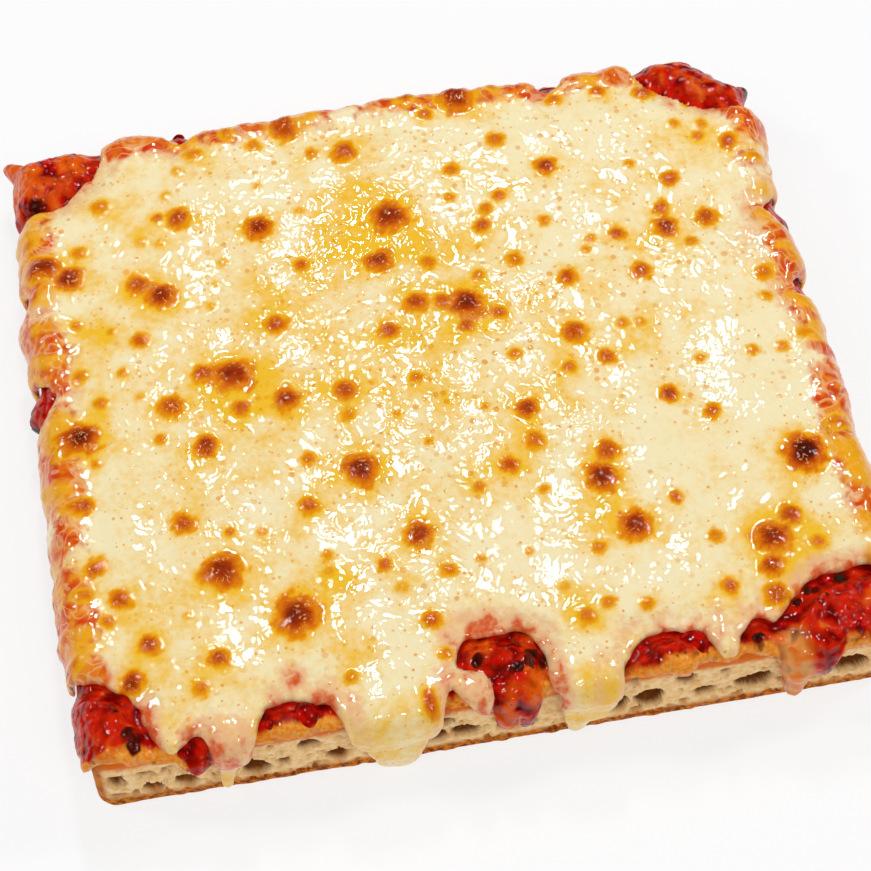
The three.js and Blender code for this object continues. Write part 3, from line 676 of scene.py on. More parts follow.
def cell_faces(inside, upper, cuts, hidden):
    """Quads of whole cells and fans of triangles of trimmed ones, on both skins."""
    faces = []
    width, depth = (size - 1 for size in inside.shape)
    corner_flags = np.stack([inside[di : width + di, dj : depth + dj] for di, dj in AROUND])
    for pattern in itertools.product((False, True), repeat=4):
        if not any(pattern):
            continue
        i, j = np.nonzero(np.all(corner_flags == np.array(pattern)[:, None, None], axis=0))
        ring = cell_ring(pattern, i, j, upper, cuts)
        for skin, turn in enumerate((1, -1)):
            shown = ~hidden[skin][i, j]
            line = [pair[skin][shown] for pair in ring]
            if all(pattern):
                faces.append(np.stack(line[::turn], axis=1))
                continue
            for k in range(1, len(line) - 1):
                faces.append(np.stack([line[0], line[k], line[k + 1]][::turn], axis=1))
    return faces


# %% Sheet from its outline and skins
def closed_sheet(name, distance, under, over, layers, upper_patches=(), lower_patches=()):
    """A closed sheet with the given outline and skins. Patches are (left, right, front, back)."""
    half_width = CORE_X + CORNER_TURN + LONGEST_REACH
    columns = np.arange(-half_width, half_width, CELL)
    rows = np.arange(hang(-1), CORE_BACK + CORNER_TURN + LONGEST_REACH, CELL)
    across, along = np.meshgrid(columns, rows, indexing="ij")
    inside = distance(across, along) < 0
    count = inside.size
    upper = np.arange(count).reshape(inside.shape)
    hidden = np.zeros((2, *inside.shape), bool)
    faces = []
    for skin, patches in enumerate((upper_patches, lower_patches)):
        for patch in patches:
            left, right = np.searchsorted(columns, patch[:2])
            front, back = np.searchsorted(rows, patch[2:])
            hidden[skin, left:right, front:back] = True
            border = upper[patch_border((left, right, front, back))]
            faces.append((border[::-1] + count if skin else border)[None, :])
    cut_places, cuts = outline_cuts(across, along, inside, distance)
    faces += cell_faces(inside, upper, cuts, hidden)
    lattice = np.stack([across.ravel(), along.ravel()], axis=1)
    place = np.concatenate([lattice, lattice, *cut_places])
    low = under(place[:, 0], place[:, 1])
    high = over(place[:, 0], place[:, 1])
    share = np.full(len(place), 0.5)
    share[:count] = 1
    share[count : 2 * count] = 0
    points = wrap(place[:, 0], place[:, 1], low + share * (high - low))
    return new_piece(name, points, faces, layers(place[:, 0], place[:, 1]))


# %% [markdown]
# ## Tomato sauce
# Where the cheese leaves it bare, the sauce heaps up in wet lumps. Under the cheese it is a
# plain thin layer, so the lumps start a little outside the cheese's hem and fade in from there.

# %% Sizes of the sauce
GAP = 0.32
SAUCE_THICKNESS = 0.9
SAUCE_THINNED = 0.5
SAUCE_LUMP = 2.0
SIDE_LOSS = 0.7
FACET_ROOM = 0.25
SHEET_STEP = 3.1
RIM_SHARE = 0.22
SAUCE_RIM_ROUND = 2.5
PULP_LUMP = 1.5
# Charred tips: across, along, radius, strength.
CHARRED = [
    (6.2, -62.2, 2.4, 1.0), (2.2, -63.6, 1.6, 0.8), (-3.5, -60.5, 1.6, 0.7), (44.8, -65.6, 1.3, 0.9),
    (-66.5, 49.8, 2.1, 0.8), (-69.5, 54.5, 2.2, 0.6), (73.5, 57.2, 1.3, 1.0), (-64.8, -64.2, 2.2, 0.9),
    (-78, 8, 2.8, 1.1), (-69, 67.5, 1.6, 0.9), (57.5, -57.5, 1.3, 0.9), (62.5, -57, 1.4, 0.9),
    (54, -59.5, 1.1, 0.8), (-80, 31, 2.2, 0.8), (76, 26, 1.8, 0.6), (27.5, -64.4, 0.8, 0.7),
    (-68.5, 17, 1.6, 0.5), (79, 8, 1.6, 0.6), (66, 64, 1.5, 0.6), (-40.5, 69, 1.2, 0.4),
    (-68, -58, 1.4, 0.5),
]
print("charred tips:", len(CHARRED))

# %% Sauce skins
def rounded(distance, reach):
    """Share of a sheet's full thickness, falling in a quarter round towards the outline."""
    inward = np.clip(-distance / reach, 0, 1)
    return RIM_SHARE + (1 - RIM_SHARE) * np.sqrt(1 - (1 - inward) ** 2)


def facet_room(across, along):
    """Extra gap under a sheet where it goes round an edge of the bread."""
    return FACET_ROOM * ease(wrap_frame(across, along)[4], -1, 2)


def sauce_under(across, along):
    """The sauce's lower skin: a small gap above the bread."""
    return GAP + facet_room(across, along)


def sided(across, along):
    """How far a place has turned down a baked side, from 0 on top and on the cut face to 1."""
    forth, beyond = wrap_frame(across, along)[3:]
    return ease(beyond, 0, 5) * (1 - ease(-forth, 0.2, 0.8))


def sauce_thickness(across, along):
    """Thickness under the cheese, less down the baked sides."""
    return SAUCE_THICKNESS + (SAUCE_THINNED - SAUCE_THICKNESS) * sided(across, along)


def bareness(across, along):
    """How far a place lies outside the cheese: 0 under it, 1 well clear of its hem."""
    return ease(cheese_distance(across, along), 0.4, SHEET_STEP * 1.3)


def soft_areas(across, along, areas):
    """The sum of soft round areas, at most 1: (across, along, radius, strength) each."""
    total = np.zeros_like(across)
    for x, y, radius, strength in areas:
        spread = np.hypot(across - x, along - y) / radius
        total += strength * (1 - ease(spread, 0.2, 1.3))
    return np.clip(total, 0, 1)


def sauce_over(across, along):
    """The sauce's upper skin: its thickness plus lumps and pulp where it is bare."""
    bare = bareness(across, along)
    lumps = 0.75 + 0.4 * wander(across * 1.6, 9) * wander(along * 1.6, 10)
    pulp = (cells(across, along, 3.1, 31) - 0.6) + 0.5 * (cells(across, along, 1.5, 32) - 0.6)
    tips = soft_areas(across, along, CHARRED)
    heaped = bare * lumps * (1 - SIDE_LOSS * sided(across, along))
    height = sauce_thickness(across, along) + (SAUCE_LUMP + 0.9 * tips) * heaped + PULP_LUMP * pulp * bare
    for tip in SAUCE_TIPS:
        spread = np.hypot(across - tip["at"][0], along - tip["at"][1]) / tip["radius"]
        height += bare * tip["rise"] * (1 - ease(spread, 0.1, 1))
    return sauce_under(across, along) + height * rounded(sauce_distance(across, along), SAUCE_RIM_ROUND)


# %% Attributes of the sauce
# Cream-coloured and orange places of the sauce: across, along, radius, strength.
CREAMY = [(50.6, -67.5, 4, 1.0), (51.8, -71, 3.6, 1.2), (52.4, -75, 3.4, 1.2), (52.4, -79, 3.4, 1.0)]
ORANGE = [
    (-0.2, -68, 3, 0.8), (-0.2, -72, 3, 1.0), (5.4, -67, 3, 0.9), (7.5, -64, 3, 0.7),
    (-3, -58.5, 4.5, 0.6), (4, -57.5, 4, 0.6), (-74, -66, 7, 0.7), (-75, 62, 6, 0.9),
    (-72, 66, 5, 0.7), (-63, 63, 4, 0.6), (68, -62, 5, 0.7), (50, -62, 3, 0.4),
    (72, 50, 5, 0.8), (60, 66, 6, 0.5), (67, 60, 7, 0.6), (-68, 58, 7, 0.6), (-60, 66, 5, 0.5),
]


def sauce_layers(across, along):
    """Attributes of the sauce: its baked lip, charred tips, pulp, creamy and orange places."""
    on_run = np.full_like(across, 9.0)
    for run in SAUCE_RUNS:
        on_run = np.minimum(on_run, run_distance(across, along, run))
    lip = ease(-along, 66.0, 67.6) * ease(on_run, -0.6, 0.8)
    lip = np.maximum(lip, ease(sauce_distance(across, along), -2.4, -0.6) * ease(on_run, -0.8, 0.2))
    charred = soft_areas(across, along, CHARRED) * (0.75 + 0.5 * mottle(across, along, 1.3, 33))
    return {
        "lip": np.clip(lip, 0, 1),
        "charred": np.clip(charred, 0, 1),
        # The material paints lighter red on the pulp's high lump tops: painted light.
        "pulp": cells(across, along, 3.1, 31) * 0.65 + cells(across, along, 1.4, 32) * 0.35,
        "creamy": soft_areas(across, along, CREAMY),
        "orange": soft_areas(across, along, ORANGE),
    }


# %% Sauce piece
# The part that the cheese hides, one large flat face on each skin: left, right, front, back.
HIDDEN_SAUCE = [(-59, 46, -46, 50)]
sauce = closed_sheet(
    "tomato_sauce_wet", sauce_distance, sauce_under, sauce_over, sauce_layers,
    upper_patches=HIDDEN_SAUCE, lower_patches=HIDDEN_SAUCE,
)

# %% [markdown]
# ## Mozzarella
# The cheese is the main surface. Its relief is the sum of slow swells, folds where it turns down
# or runs, baked lumps on the flanks, domed blisters and hundreds of tiny burst bubbles. All of it
# is one height above the sauce. What the colours need, such as how browned or how oily a place
# is, goes into attributes, because a material can't know where a blister is.

# %% Blisters and browned spots
# Large blisters: across, along, radius, browning.
BLISTERS = [
    (-37.5, 6, 3.8, 1.0), (-48.5, 27, 2.8, 1.0), (-28, 39.5, 2.8, 1.0), (-43, 44.5, 2.5, 0.85),
    (-2.5, 37.5, 3.6, 1.0), (-6, 27.6, 2.6, 0.95), (-28.5, -1.5, 2.6, 0.95), (-8.5, 55.5, 2.6, 0.8),
    (-50, 1.2, 2.5, 0.8), (-17.5, -1, 2.3, 0.8), (-1, 16, 2.5, 0.85), (8.5, 14, 3.2, 1.05),
    (30, 44, 2.2, 0.95), (50.3, 25, 2.4, 1.0), (58.5, 26, 2.2, 0.8), (27.2, 3.5, 2.5, 0.8),
    (43, 15.6, 2.1, 0.8), (-44.5, -8.5, 2.3, 0.95), (-17.5, -19, 3.2, 1.05), (-50.5, -24.4, 2.2, 0.8),
    (-45, -35.4, 3.6, 1.0), (-9.5, -34.4, 2.7, 0.95), (-33.5, -46.6, 4.0, 1.05), (27.5, -23.6, 2.3, 0.8),
    (25.3, -29, 3.1, 1.05), (29, -39.8, 3.0, 1.0), (15, -19, 2.2, 0.65), (15, -11.8, 2.2, 0.95),
]
# Browned spots that the solids leave out, in the same form, from the back left onwards.
SPOTS = [
    (-43, 7.4, 2.2, 0.8), (-52.5, 30.4, 2.3, 0.8), (-47, 45.4, 1.2, 0.7), (-21, 29.4, 1.6, 0.75),
    (-28, 15.9, 2.2, 0.8), (-7.2, 10.4, 1.9, 0.85), (-15, 56.4, 1.5, 0.55), (-19.5, 63.9, 3, 0.85),
    (-31, 64.4, 1.7, 0.55), (-38, 60.7, 1.8, 0.55), (-26, 60.4, 1.6, 0.55), (-42, 56.4, 1.5, 0.35),
    (-58, 50.4, 1.9, 0.55), (-45, 50.4, 1.3, 0.35), (-27, 49.7, 1.2, 0.35), (-19.5, 42.4, 1.3, 0.35),
    (-63, 40.2, 1.7, 0.55), (-51, 40.4, 1.5, 0.35), (-47.5, 39.4, 1.2, 0.35), (-65.5, 34.4, 2.8, 1.0),
    (-69.5, 37.9, 2.5, 1.0), (-71, 44.4, 1.5, 0.6), (-36, 32.9, 1.3, 0.35), (-38, 27.9, 1, 0.35),
    (-39.5, 22.9, 1.2, 0.35), (-65, 23.4, 1.3, 0.55), (-59, 20.4, 1, 0.5), (-54, 17.1, 1.7, 0.75),
    (-66, 11.4, 1.8, 0.55), (-58, 10.4, 1.2, 0.5), (-63, 4.4, 1.7, 0.55), (-55.5, 4.4, 1.2, 0.35),
    (-37, -1.6, 1.9, 0.75), (-67, -2.6, 3.2, 1.1), (-4, -1.1, 1.5, 0.6), (4, 15.4, 1.9, 0.75),
    (16, 64.4, 3.5, 1.0), (6, 65.9, 2, 0.8), (23.5, 65.9, 1.5, 0.75), (9, 61.4, 1.6, 0.7),
    (35.5, 61.1, 1.9, 0.6), (44.5, 61.6, 1.6, 0.75), (53.5, 59.4, 2.3, 0.8), (61.8, 55.4, 1.4, 0.55),
    (21.5, 52.2, 1.9, 0.65), (11.5, 46.4, 1.6, 0.65), (57, 49.4, 1.3, 0.5), (62.3, 48.4, 1.3, 0.5),
    (61, 45.4, 1.5, 0.6), (66.7, 42.9, 2, 0.8), (46.5, 41.4, 1.3, 0.5), (10, 39.7, 1.3, 0.55),
    (19.5, 38.4, 1.5, 0.7), (16.5, 35.9, 1.5, 0.6), (15, 31.9, 1.7, 0.8), (27, 30.9, 1.4, 0.55),
    (53.5, 35.9, 1.9, 0.75), (50.3, 29.7, 1.7, 0.75), (40.5, 25.2, 1.7, 0.85), (35, 24.9, 1.2, 0.55),
    (54, 20.4, 1.5, 0.55), (3, 25.1, 1.7, 0.6), (13.5, 27.1, 1, 0.4), (19.5, 22.4, 1.9, 0.6),
    (12, 20.2, 1.5, 0.55), (33.5, 22.4, 1.2, 0.5), (28.5, 16.4, 2, 0.8), (14.3, 10.9, 1.6, 0.75),
    (7.5, 8.9, 1.8, 0.75), (36.5, 3.7, 1.4, 0.55), (40, 3.7, 1.2, 0.5), (15.2, 0.7, 1.5, 0.6),
    (66, 10.4, 2, 0.6), (65, 4.9, 1.3, 0.5), (70, 38.4, 1.2, 0.5), (-52.5, -5.6, 1.3, 0.55),
    (-17.8, -6.6, 1.6, 0.5), (-9, -8.1, 1, 0.5), (-65, -8.6, 1.2, 0.5), (-68, -17.4, 2, 0.8),
    (-26.5, -15.1, 1.6, 0.6), (-4.2, -15.6, 1, 0.5), (-28, -24.9, 1.9, 0.75), (-42.7, -27.6, 1.2, 0.7),
    (-37, -28.6, 1, 0.5), (-67, -30.6, 2, 0.75), (-63.5, -37.6, 2.1, 0.8), (-69, -35.6, 1.5, 0.55),
    (-66.5, -41.6, 1.5, 0.6), (-26.3, -35.6, 1.2, 0.5), (-26.5, -39.1, 1.3, 0.4), (-16.5, -39.4, 1.4, 0.75),
    (-5.5, -42.6, 1.6, 0.6), (-14.3, -44.6, 1.8, 0.35), (-52.5, -43.1, 1.1, 0.35), (-60, -47.6, 2.1, 0.85),
    (-71.5, -48.1, 1.5, 0.6), (-48.2, -52.6, 1.9, 0.85), (-52, -57.9, 1.7, 0.6), (-10.3, -51.9, 1.8, 0.75),
    (-63.5, -54.1, 2.2, 0.95), (-26, -60.6, 1.6, 0.5), (-13.5, -66.2, 1.2, 0.85), (-9, -58.6, 1.5, 0.55),
    (24.5, -4.1, 1.6, 0.65), (32, -3.3, 1.7, 0.75), (7.5, -10.1, 1, 0.5), (41.3, -13.6, 1.8, 0.95),
    (48.2, -18.9, 1.7, 0.75), (9.2, -23.1, 1.9, 0.8), (3, -26.9, 1.4, 0.6), (14.5, -29.3, 1, 0.5),
    (63, -30.6, 3.8, 1.25), (37.5, -35.3, 1.4, 0.75), (21.5, -43.3, 1.5, 0.55), (9.3, -41.6, 1, 0.45),
    (0.5, -41.6, 1, 0.45), (42.5, -44.6, 1.6, 0.55), (57, -43, 2.1, 0.85), (52.5, -47, 3.3, 1.0),
    (60, -49.5, 1.7, 0.6), (50.8, -52.5, 2.3, 0.9), (50.5, -58, 2.2, 0.8), (55.2, -45.5, 1, 0.8),
    (14, -50.1, 1.4, 0.35), (16.5, -56.6, 1.8, 0.6), (20.7, -54.6, 1.5, 0.55), (42.7, -55.1, 1.5, 0.8),
    (27.5, -56.1, 1.4, 0.55), (49, -6.6, 1.3, 0.5), (59, -7.1, 1.3, 0.5), (64.5, -7.1, 1.3, 0.5),
    (69, -5.1, 1.3, 0.5), (70, -25.6, 1.7, 0.6),
]
print("blisters:", len(BLISTERS), "spots:", len(SPOTS))

# %% Sizes of the cheese
CHEESE_THICKNESS = 2.3
CHEESE_THINNED = 0.9
CHEESE_RUNNING = 1.5
CHEESE_RIM_ROUND = 3.0
CHEESE_FEATHER = 5.5
CHEESE_WAVE = 0.3
SHOULDER_LUMP = 0.45
DRIP_SWELL = 1.0
CRUSTY_LUMP = 0.95
BLISTER_RISE = 0.36
BLISTER_MOAT = 0.045
WRINKLE = 0.035
BUBBLES = 900
BUBBLE_SEED = 4
FRONT_FADE = (58, 64)  # how far to the front the flanks' lumps and crust fade out
print("tiny bubbles:", BUBBLES)

# %% Blisters, bubbles and folds
def blister_relief(across, along):
    """Bell-shaped domes with a shallow moat round them and radial wrinkles on their flanks."""
    relief = np.zeros_like(across)
    for x, y, radius, _ in BLISTERS + SPOTS:
        near = np.flatnonzero((np.abs(across - x) < 1.8 * radius) & (np.abs(along - y) < 1.8 * radius))
        away_x = across[near] - x
        away_y = along[near] - y
        spread = np.hypot(away_x, away_y) / radius
        rise = BLISTER_RISE if radius > 2.1 else BLISTER_RISE * 0.75
        dome = rise * np.exp(-((spread / 0.62) ** 2))
        moat = BLISTER_MOAT * np.exp(-(((spread - 1.2) / 0.2) ** 2))
        spokes = np.sin(np.arctan2(away_y, away_x) * np.round(4 + radius * 2) + x)
        wrinkles = WRINKLE * spokes * np.exp(-(((spread - 0.65) / 0.25) ** 2))
        relief[near] += radius * (dome - moat + wrinkles)
    return relief


def bubble_relief(across, along):
    """Tiny burst bubbles: low rings, denser in the middle of the slice."""
    draws = np.random.default_rng(BUBBLE_SEED)
    centres = np.stack([draws.normal(-3, 30, BUBBLES), draws.normal(12, 32, BUBBLES)], axis=1)
    radii = 0.45 + 0.9 * draws.beta(1.2, 4, BUBBLES)
    relief = np.zeros_like(across)
    for (x, y), radius in zip(centres, radii):
        near = np.flatnonzero((np.abs(across - x) < 2 * radius) & (np.abs(along - y) < 2 * radius))
        spread = np.hypot(across[near] - x, along[near] - y) / radius
        relief[near] += 0.14 * np.exp(-(((spread - 0.8) / 0.4) ** 2))
    return relief


def fold_relief(across, along):
    """Stretched folds: across the sides they run down, and on the front they follow the runs."""
    beyond = wrap_frame(across, along)[4]
    side = ease(np.abs(across), CORE_X - 3, CORE_X + 6)
    back = ease(along, CORE_BACK - 3, CORE_BACK + 6)
    front = ease(-along, 50, 66)
    down_side = mottle(across / 3.2, along, 2.6, 41) + 0.6 * mottle(across / 2, along, 5.2, 42)
    down_back = mottle(across, along / 3.2, 2.6, 43) + 0.6 * mottle(across, along / 2, 5.2, 44)
    down_front = mottle(across, along / 5, 1.9, 45) + 0.6 * mottle(across, along / 4, 3.8, 46)
    folded = ease(beyond, -2, 4)
    return 0.34 * side * down_side * folded + 0.34 * back * down_back * folded + 0.26 * front * down_front


# %% Flanks and swells
def past_core(across, along):
    """How far a place lies outside the top's flat core towards a baked side, less than 0 inside."""
    plain = np.maximum(np.abs(across) - CORE_X, along - CORE_BACK)
    return np.maximum(plain, (across + along - CORE_CUT) / np.sqrt(2))


def off_front(along):
    """1 away from the cut face, falling to 0 towards it."""
    return 1 - ease(-along, *FRONT_FADE)


def flanks(across, along):
    """How far a place lies down a baked side: 0 on top and in front, 1 past the upper edge."""
    return ease(past_core(across, along), -3, 3.5) * off_front(along)


def baked_lumps(across, along):
    """The coarse lumps of the flanks, between 0 and 1."""
    return cells(across, along, 2.8, 47)


def crusty_relief(across, along):
    """Baked lumps on the flanks, packed against each other, in two sizes."""
    coarse = baked_lumps(across, along) - 0.6
    fine = cells(across, along, 1.5, 48) - 0.6
    return CRUSTY_LUMP * flanks(across, along) * (coarse + 0.6 * fine)


def swell_relief(across, along):
    """Slow swells and their ripples on the flat top."""
    slow = 0.26 * mottle(across, along, 11, 51) + 0.17 * mottle(across, along, 6, 52)
    stretched = 0.10 * mottle(across / 2.2, along, 2.6, 53)
    fine = 0.05 * mottle(across, along, 1.5, 54)
    return slow + stretched + fine


# %% Skins of the cheese
def cheese_under(across, along):
    """The lower skin: on the sauce, and on the bread where a run goes past the sauce."""
    off_sauce = ease(sauce_distance(across, along), SHEET_STEP * 1.1, SHEET_STEP * 2)
    on_sauce = 2 * GAP + sauce_thickness(across, along) + 2 * facet_room(across, along)
    return on_sauce + (GAP + FACET_ROOM - on_sauce) * off_sauce


def cheese_share(across, along):
    """Share of the full thickness: a quarter round where it hangs, a soft feather on top."""
    distance = cheese_distance(across, along)
    hanging = np.maximum(ease(wrap_frame(across, along)[4], -2, 1), ease(-along, 58, 65))
    feather = RIM_SHARE + (1 - RIM_SHARE) * ease(-distance, -1.5, CHEESE_FEATHER)
    return feather + (rounded(distance, CHEESE_RIM_ROUND) - feather) * hanging


def cheese_over(across, along):
    """The upper skin: thickness, waves, lumps, the drips' swell and the relief."""
    folded = ease(wrap_frame(across, along)[4], 0, 5)
    thinned = CHEESE_RUNNING + (CHEESE_THINNED - CHEESE_RUNNING) * sided(across, along)
    plain = CHEESE_THICKNESS + (thinned - CHEESE_THICKNESS) * folded
    wave = CHEESE_WAVE * (1 - folded) * (wander(across, 11) + wander(along * 0.9, 12))
    shoulder = ease(np.abs(across), CORE_X - 4, CORE_X + 4) + ease(along, CORE_BACK - 2, CORE_BACK + 4)
    lumps = SHOULDER_LUMP * shoulder * wander(along * 1.4 + across, 13)
    swell = DRIP_SWELL * ease(CUT_FACE_TURN - along, 3, 9)
    relief = fold_relief(across, along) + crusty_relief(across, along)
    relief += swell_relief(across, along) + bubble_relief(across, along)
    height = plain + wave + lumps + swell + relief
    body = height * cheese_share(across, along)
    return cheese_under(across, along) + body + blister_relief(across, along)


# %% Oily, reddish and thin areas
# Yellow oily areas, those where sauce shows and thin pinkish ones: across, along, radius, strength.
OILY = [
    (-26, -42, 7, 0.9), (-24, -57, 6, 0.7), (-37, 2, 8, 0.6), (-31, 22, 8, 0.5), (-13, 34, 10, 0.7),
    (5, 28, 9, 0.6), (11, 12, 8, 0.5), (-15, 2, 8, 0.4), (25, -34, 8, 0.5), (54, -48, 9, 0.9),
    (-63, -46, 7, 0.5), (16, -55, 7, 0.6), (45, 25, 9, 0.5), (-5, 44, 9, 0.4), (-65, 18, 8, 0.5),
    (11, -20, 8, 0.4), (-49, 28, 8, 0.4), (59, 43, 9, 0.4), (41, -58, 6, 0.6), (-48, -52, 7, 0.4),
]
REDDISH = [(-68.5, 17.5, 4.5, 0.9), (-71, 31, 4, 0.6), (69, 20, 5, 0.6), (66, 28, 3, 0.4)]
THIN = [
    (-36, -57.6, 3.2, 0.9), (63, 17, 6, 0.6), (57, 25, 4, 0.4), (-4, -54, 6, 0.5), (-10, -48, 5, 0.3),
    (-69, 16, 4, 0.8), (-71, 31, 5, 0.7), (69, 22, 6, 0.7), (-4.5, -64, 4, 0.7), (-48, -68, 4, 0.7),
    (52, -58, 4, 0.7), (39, -62, 4, 0.5), (-63, -60, 4, 0.6), (-45, 64, 6, 0.6), (49, -70, 5, 0.8),
]
print("oily areas:", len(OILY))

# %% Browning
CORE_SHARE = 0.85  # of a spot's radius, the size of its dark core


def browning(across, along):
    """Browning of each place, the strongest spot's, and its place inside that spot."""
    level = np.zeros_like(across)
    offset = np.zeros((len(across), 3))
    ragged = mottle(across, along, 1.5, 65) + 0.6 * mottle(across, along, 0.8, 66)
    for x, y, radius, strength in BLISTERS + SPOTS:
        near = np.flatnonzero((np.abs(across - x) < 3 * radius) & (np.abs(along - y) < 3 * radius))
        away = np.stack([across[near] - x, along[near] - y], axis=1) / radius
        spread = np.hypot(away[:, 0], away[:, 1]) * (1 + 0.2 * ragged[near])
        core = np.exp(-((spread / CORE_SHARE) ** 3.2))
        ring = np.exp(-(((spread - 1.02) / 0.1) ** 2))
        here = strength * (0.72 * core + 0.26 * (1 - ease(spread, 0.6, 2.3)) + 0.16 * ring)
        stronger = here > level[near]
        level[near[stronger]] = here[stronger]
        offset[near[stronger], :2] = away[stronger]
        offset[near[stronger], 2] = x * 0.1
    return level, offset


def toasted_sides(across, along):
    """Browning off the top: on the flanks' lumps, along the hem and, darker, on nubs lower down."""
    beyond = wrap_frame(across, along)[4]
    hem = ease(cheese_distance(across, along), -2.2, -0.1)
    lower = ease(beyond, 2, 7) * np.where(along < CORE_FRONT, 0.0, 1.0)
    patches = ease(mottle(across, along, 4.2, 61) + 0.4 * mottle(across, along, 1.8, 62), -0.3, 0.7)
    tops = ease(baked_lumps(across, along), 0.5, 0.95)
    toast = flanks(across, along) * patches * (0.02 + 0.3 * tops) + lower * 0.3 * hem
    nubs = ease(baked_lumps(across, along), 0.9, 1.0) * ease(mottle(across, along, 7, 70), 0.0, 0.4)
    return np.maximum(toast, 1.3 * nubs * ease(beyond, 2, 5) * off_front(along))


# %% Oil, crust and sauce that shows
def in_middle(across, along):
    """A wide bell round the middle of the slice."""
    return np.exp(-(((across + 8) / 42) ** 2) - (((along - 8) / 50) ** 2))


def oiliness(across, along):
    """Oil in clouds, more in the middle, to the left, round each spot and down the drips."""
    cloudy = 0.5 * mottle(across, along, 8, 63) + 0.35 * mottle(across, along, 3.5, 64)
    wide = 0.12 + 0.28 * in_middle(across, along) + 0.1 * ease(-across, 10, 60) + 0.34 * cloudy
    halo = soft_areas(across, along, [(x, y, r * 2.3, 0.32 * s) for x, y, r, s in BLISTERS + SPOTS])
    drips = 0.4 * ease(-along, 62, 69)
    return wide + halo + drips + 0.5 * soft_areas(across, along, OILY)


def crustiness(across, along):
    """Orange crust on the flanks, marbled in two sizes."""
    crust = ease(past_core(across, along), -3.0, 3.5) * off_front(along)
    marbling = 0.85 + 0.55 * mottle(across / 1.4, along, 8, 73) + 0.3 * mottle(across / 2, along, 3, 74)
    return crust * marbling


def redness(across, along):
    """Sauce that shows in patches on the flanks, less on their lumps, and in a few areas."""
    flank = flanks(across, along)
    patches = ease(mottle(across, along, 5.5, 68) + 0.5 * mottle(across, along, 2.2, 69), -0.1, 0.7)
    reddish = np.maximum(flank * patches, soft_areas(across, along, REDDISH))
    return reddish * (1 - 0.8 * ease(baked_lumps(across, along), 0.5, 0.95) * flank)


def thinness(across, along):
    """Where sauce shimmers through: in streaks along the hem, and in a few areas."""
    beyond = wrap_frame(across, along)[4]
    lower = ease(beyond, 3, 6) * np.where(along < CORE_FRONT, 0.7, 0.4)
    near_sauce = (1 - lower) * ease(cheese_distance(across, along), -6.5, 0.2)
    streaks = 0.75 + 0.5 * mottle(across, along / 2.5, 2.0, 71) + 0.3 * mottle(across, along, 1.1, 72)
    return near_sauce * streaks + soft_areas(across, along, THIN) * 0.6


# %% Attributes of the cheese
def cheese_layers(across, along):
    """What the cheese's colours need at each place, each between 0 and 1 except the browning."""
    level, offset = browning(across, along)
    lace = 0.35 + 0.75 * in_middle(across, along) + 0.5 * mottle(across, along, 9, 67)
    return {
        "browned": np.maximum(level, toasted_sides(across, along)),
        "spot": offset,
        "oily": np.clip(oiliness(across, along), 0, 1),
        "crust": np.clip(crustiness(across, along), 0, 1),
        "reddish": np.clip(redness(across, along), 0, 1),
        "thin": np.clip(thinness(across, along), 0, 1),
        "lace": np.clip(lace, 0, 1),
    }


# %% Cheese piece
# Parts of the lower skin that lie flat on the sauce: left, right, front, back.
HIDDEN_CHEESE = [(-59, 46, -53, 56), (46.2, 59, -38, 54)]
cheese = closed_sheet(
    "mozzarella_melted", cheese_distance, cheese_under, cheese_over, cheese_layers,
    lower_patches=HIDDEN_CHEESE,
)

# %% [markdown]
# ## Drops and herb flecks
# Small things make food believable: round wet drops of sauce and flecks of dried herb. Each kind
# is one mesh: a unit ball on a grid of two angles is copied to every place at once, and each
# copy is pressed and roughened by its own draw.

# %% Helper for scattered balls
BALL_ROWS = 12
BALL_COLUMNS = 18


def unit_ball():
    """Directions of a closed ball on a grid of two angles, with both poles, and its faces."""
    polar = np.linspace(0, np.pi, BALL_ROWS + 1)[1:-1]
    turn = np.arange(BALL_COLUMNS) / BALL_COLUMNS * 2 * np.pi
    grid_polar, grid_turn = np.meshgrid(polar, turn, indexing="ij")
    directions = np.stack([
        np.sin(grid_polar) * np.cos(grid_turn), np.sin(grid_polar) * np.sin(grid_turn), np.cos(grid_polar),
    ], axis=-1).reshape(-1, 3)
    directions = np.vstack([directions, [0, 0, 1], [0, 0, -1]])
    number = np.arange((BALL_ROWS - 1) * BALL_COLUMNS).reshape(BALL_ROWS - 1, BALL_COLUMNS)
    following = np.roll(number, -1, axis=1)
    quads = np.stack([number[:-1], number[1:], following[1:], following[:-1]], axis=-1).reshape(-1, 4)
    north = np.stack([np.full(BALL_COLUMNS, number.size), number[0], following[0]], axis=-1)
    south = np.stack([np.full(BALL_COLUMNS, number.size + 1), following[-1], number[-1]], axis=-1)
    return directions, [quads, north, south]


def scattered(name, places, radii, squash, roughness, seed, lean=0.0):
    """Copies of a closed ball: radius times (1 + roughness times random hills), pressed flat."""
    draws = np.random.default_rng(seed)
    directions, ball_faces = unit_ball()
    points = []
    faces = []
    for index, (place, radius) in enumerate(zip(places, radii)):
        hills_x = directions[:, 0] * 2 + index * 7
        hills_y = directions[:, 1] * 2 + directions[:, 2] * 3
        hills = mottle(hills_x, hills_y, 0.8, seed)
        shape = directions * (1 + roughness * hills)[:, None] * radius
        shape = shape * np.array([1.0, draws.uniform(0.7, 1.1), squash])
        spin = draws.uniform(0, np.pi)
        tilt = lean * draws.normal()
        turned = np.stack([
            shape[:, 0] * np.cos(spin) - shape[:, 1] * np.sin(spin),
            shape[:, 0] * np.sin(spin) + shape[:, 1] * np.cos(spin),
            shape[:, 2] + tilt * shape[:, 0],
        ], axis=1)
        points.append(turned + place)
        faces += [block + index * len(directions) for block in ball_faces]
    return new_piece(name, np.concatenate(points), faces, {})


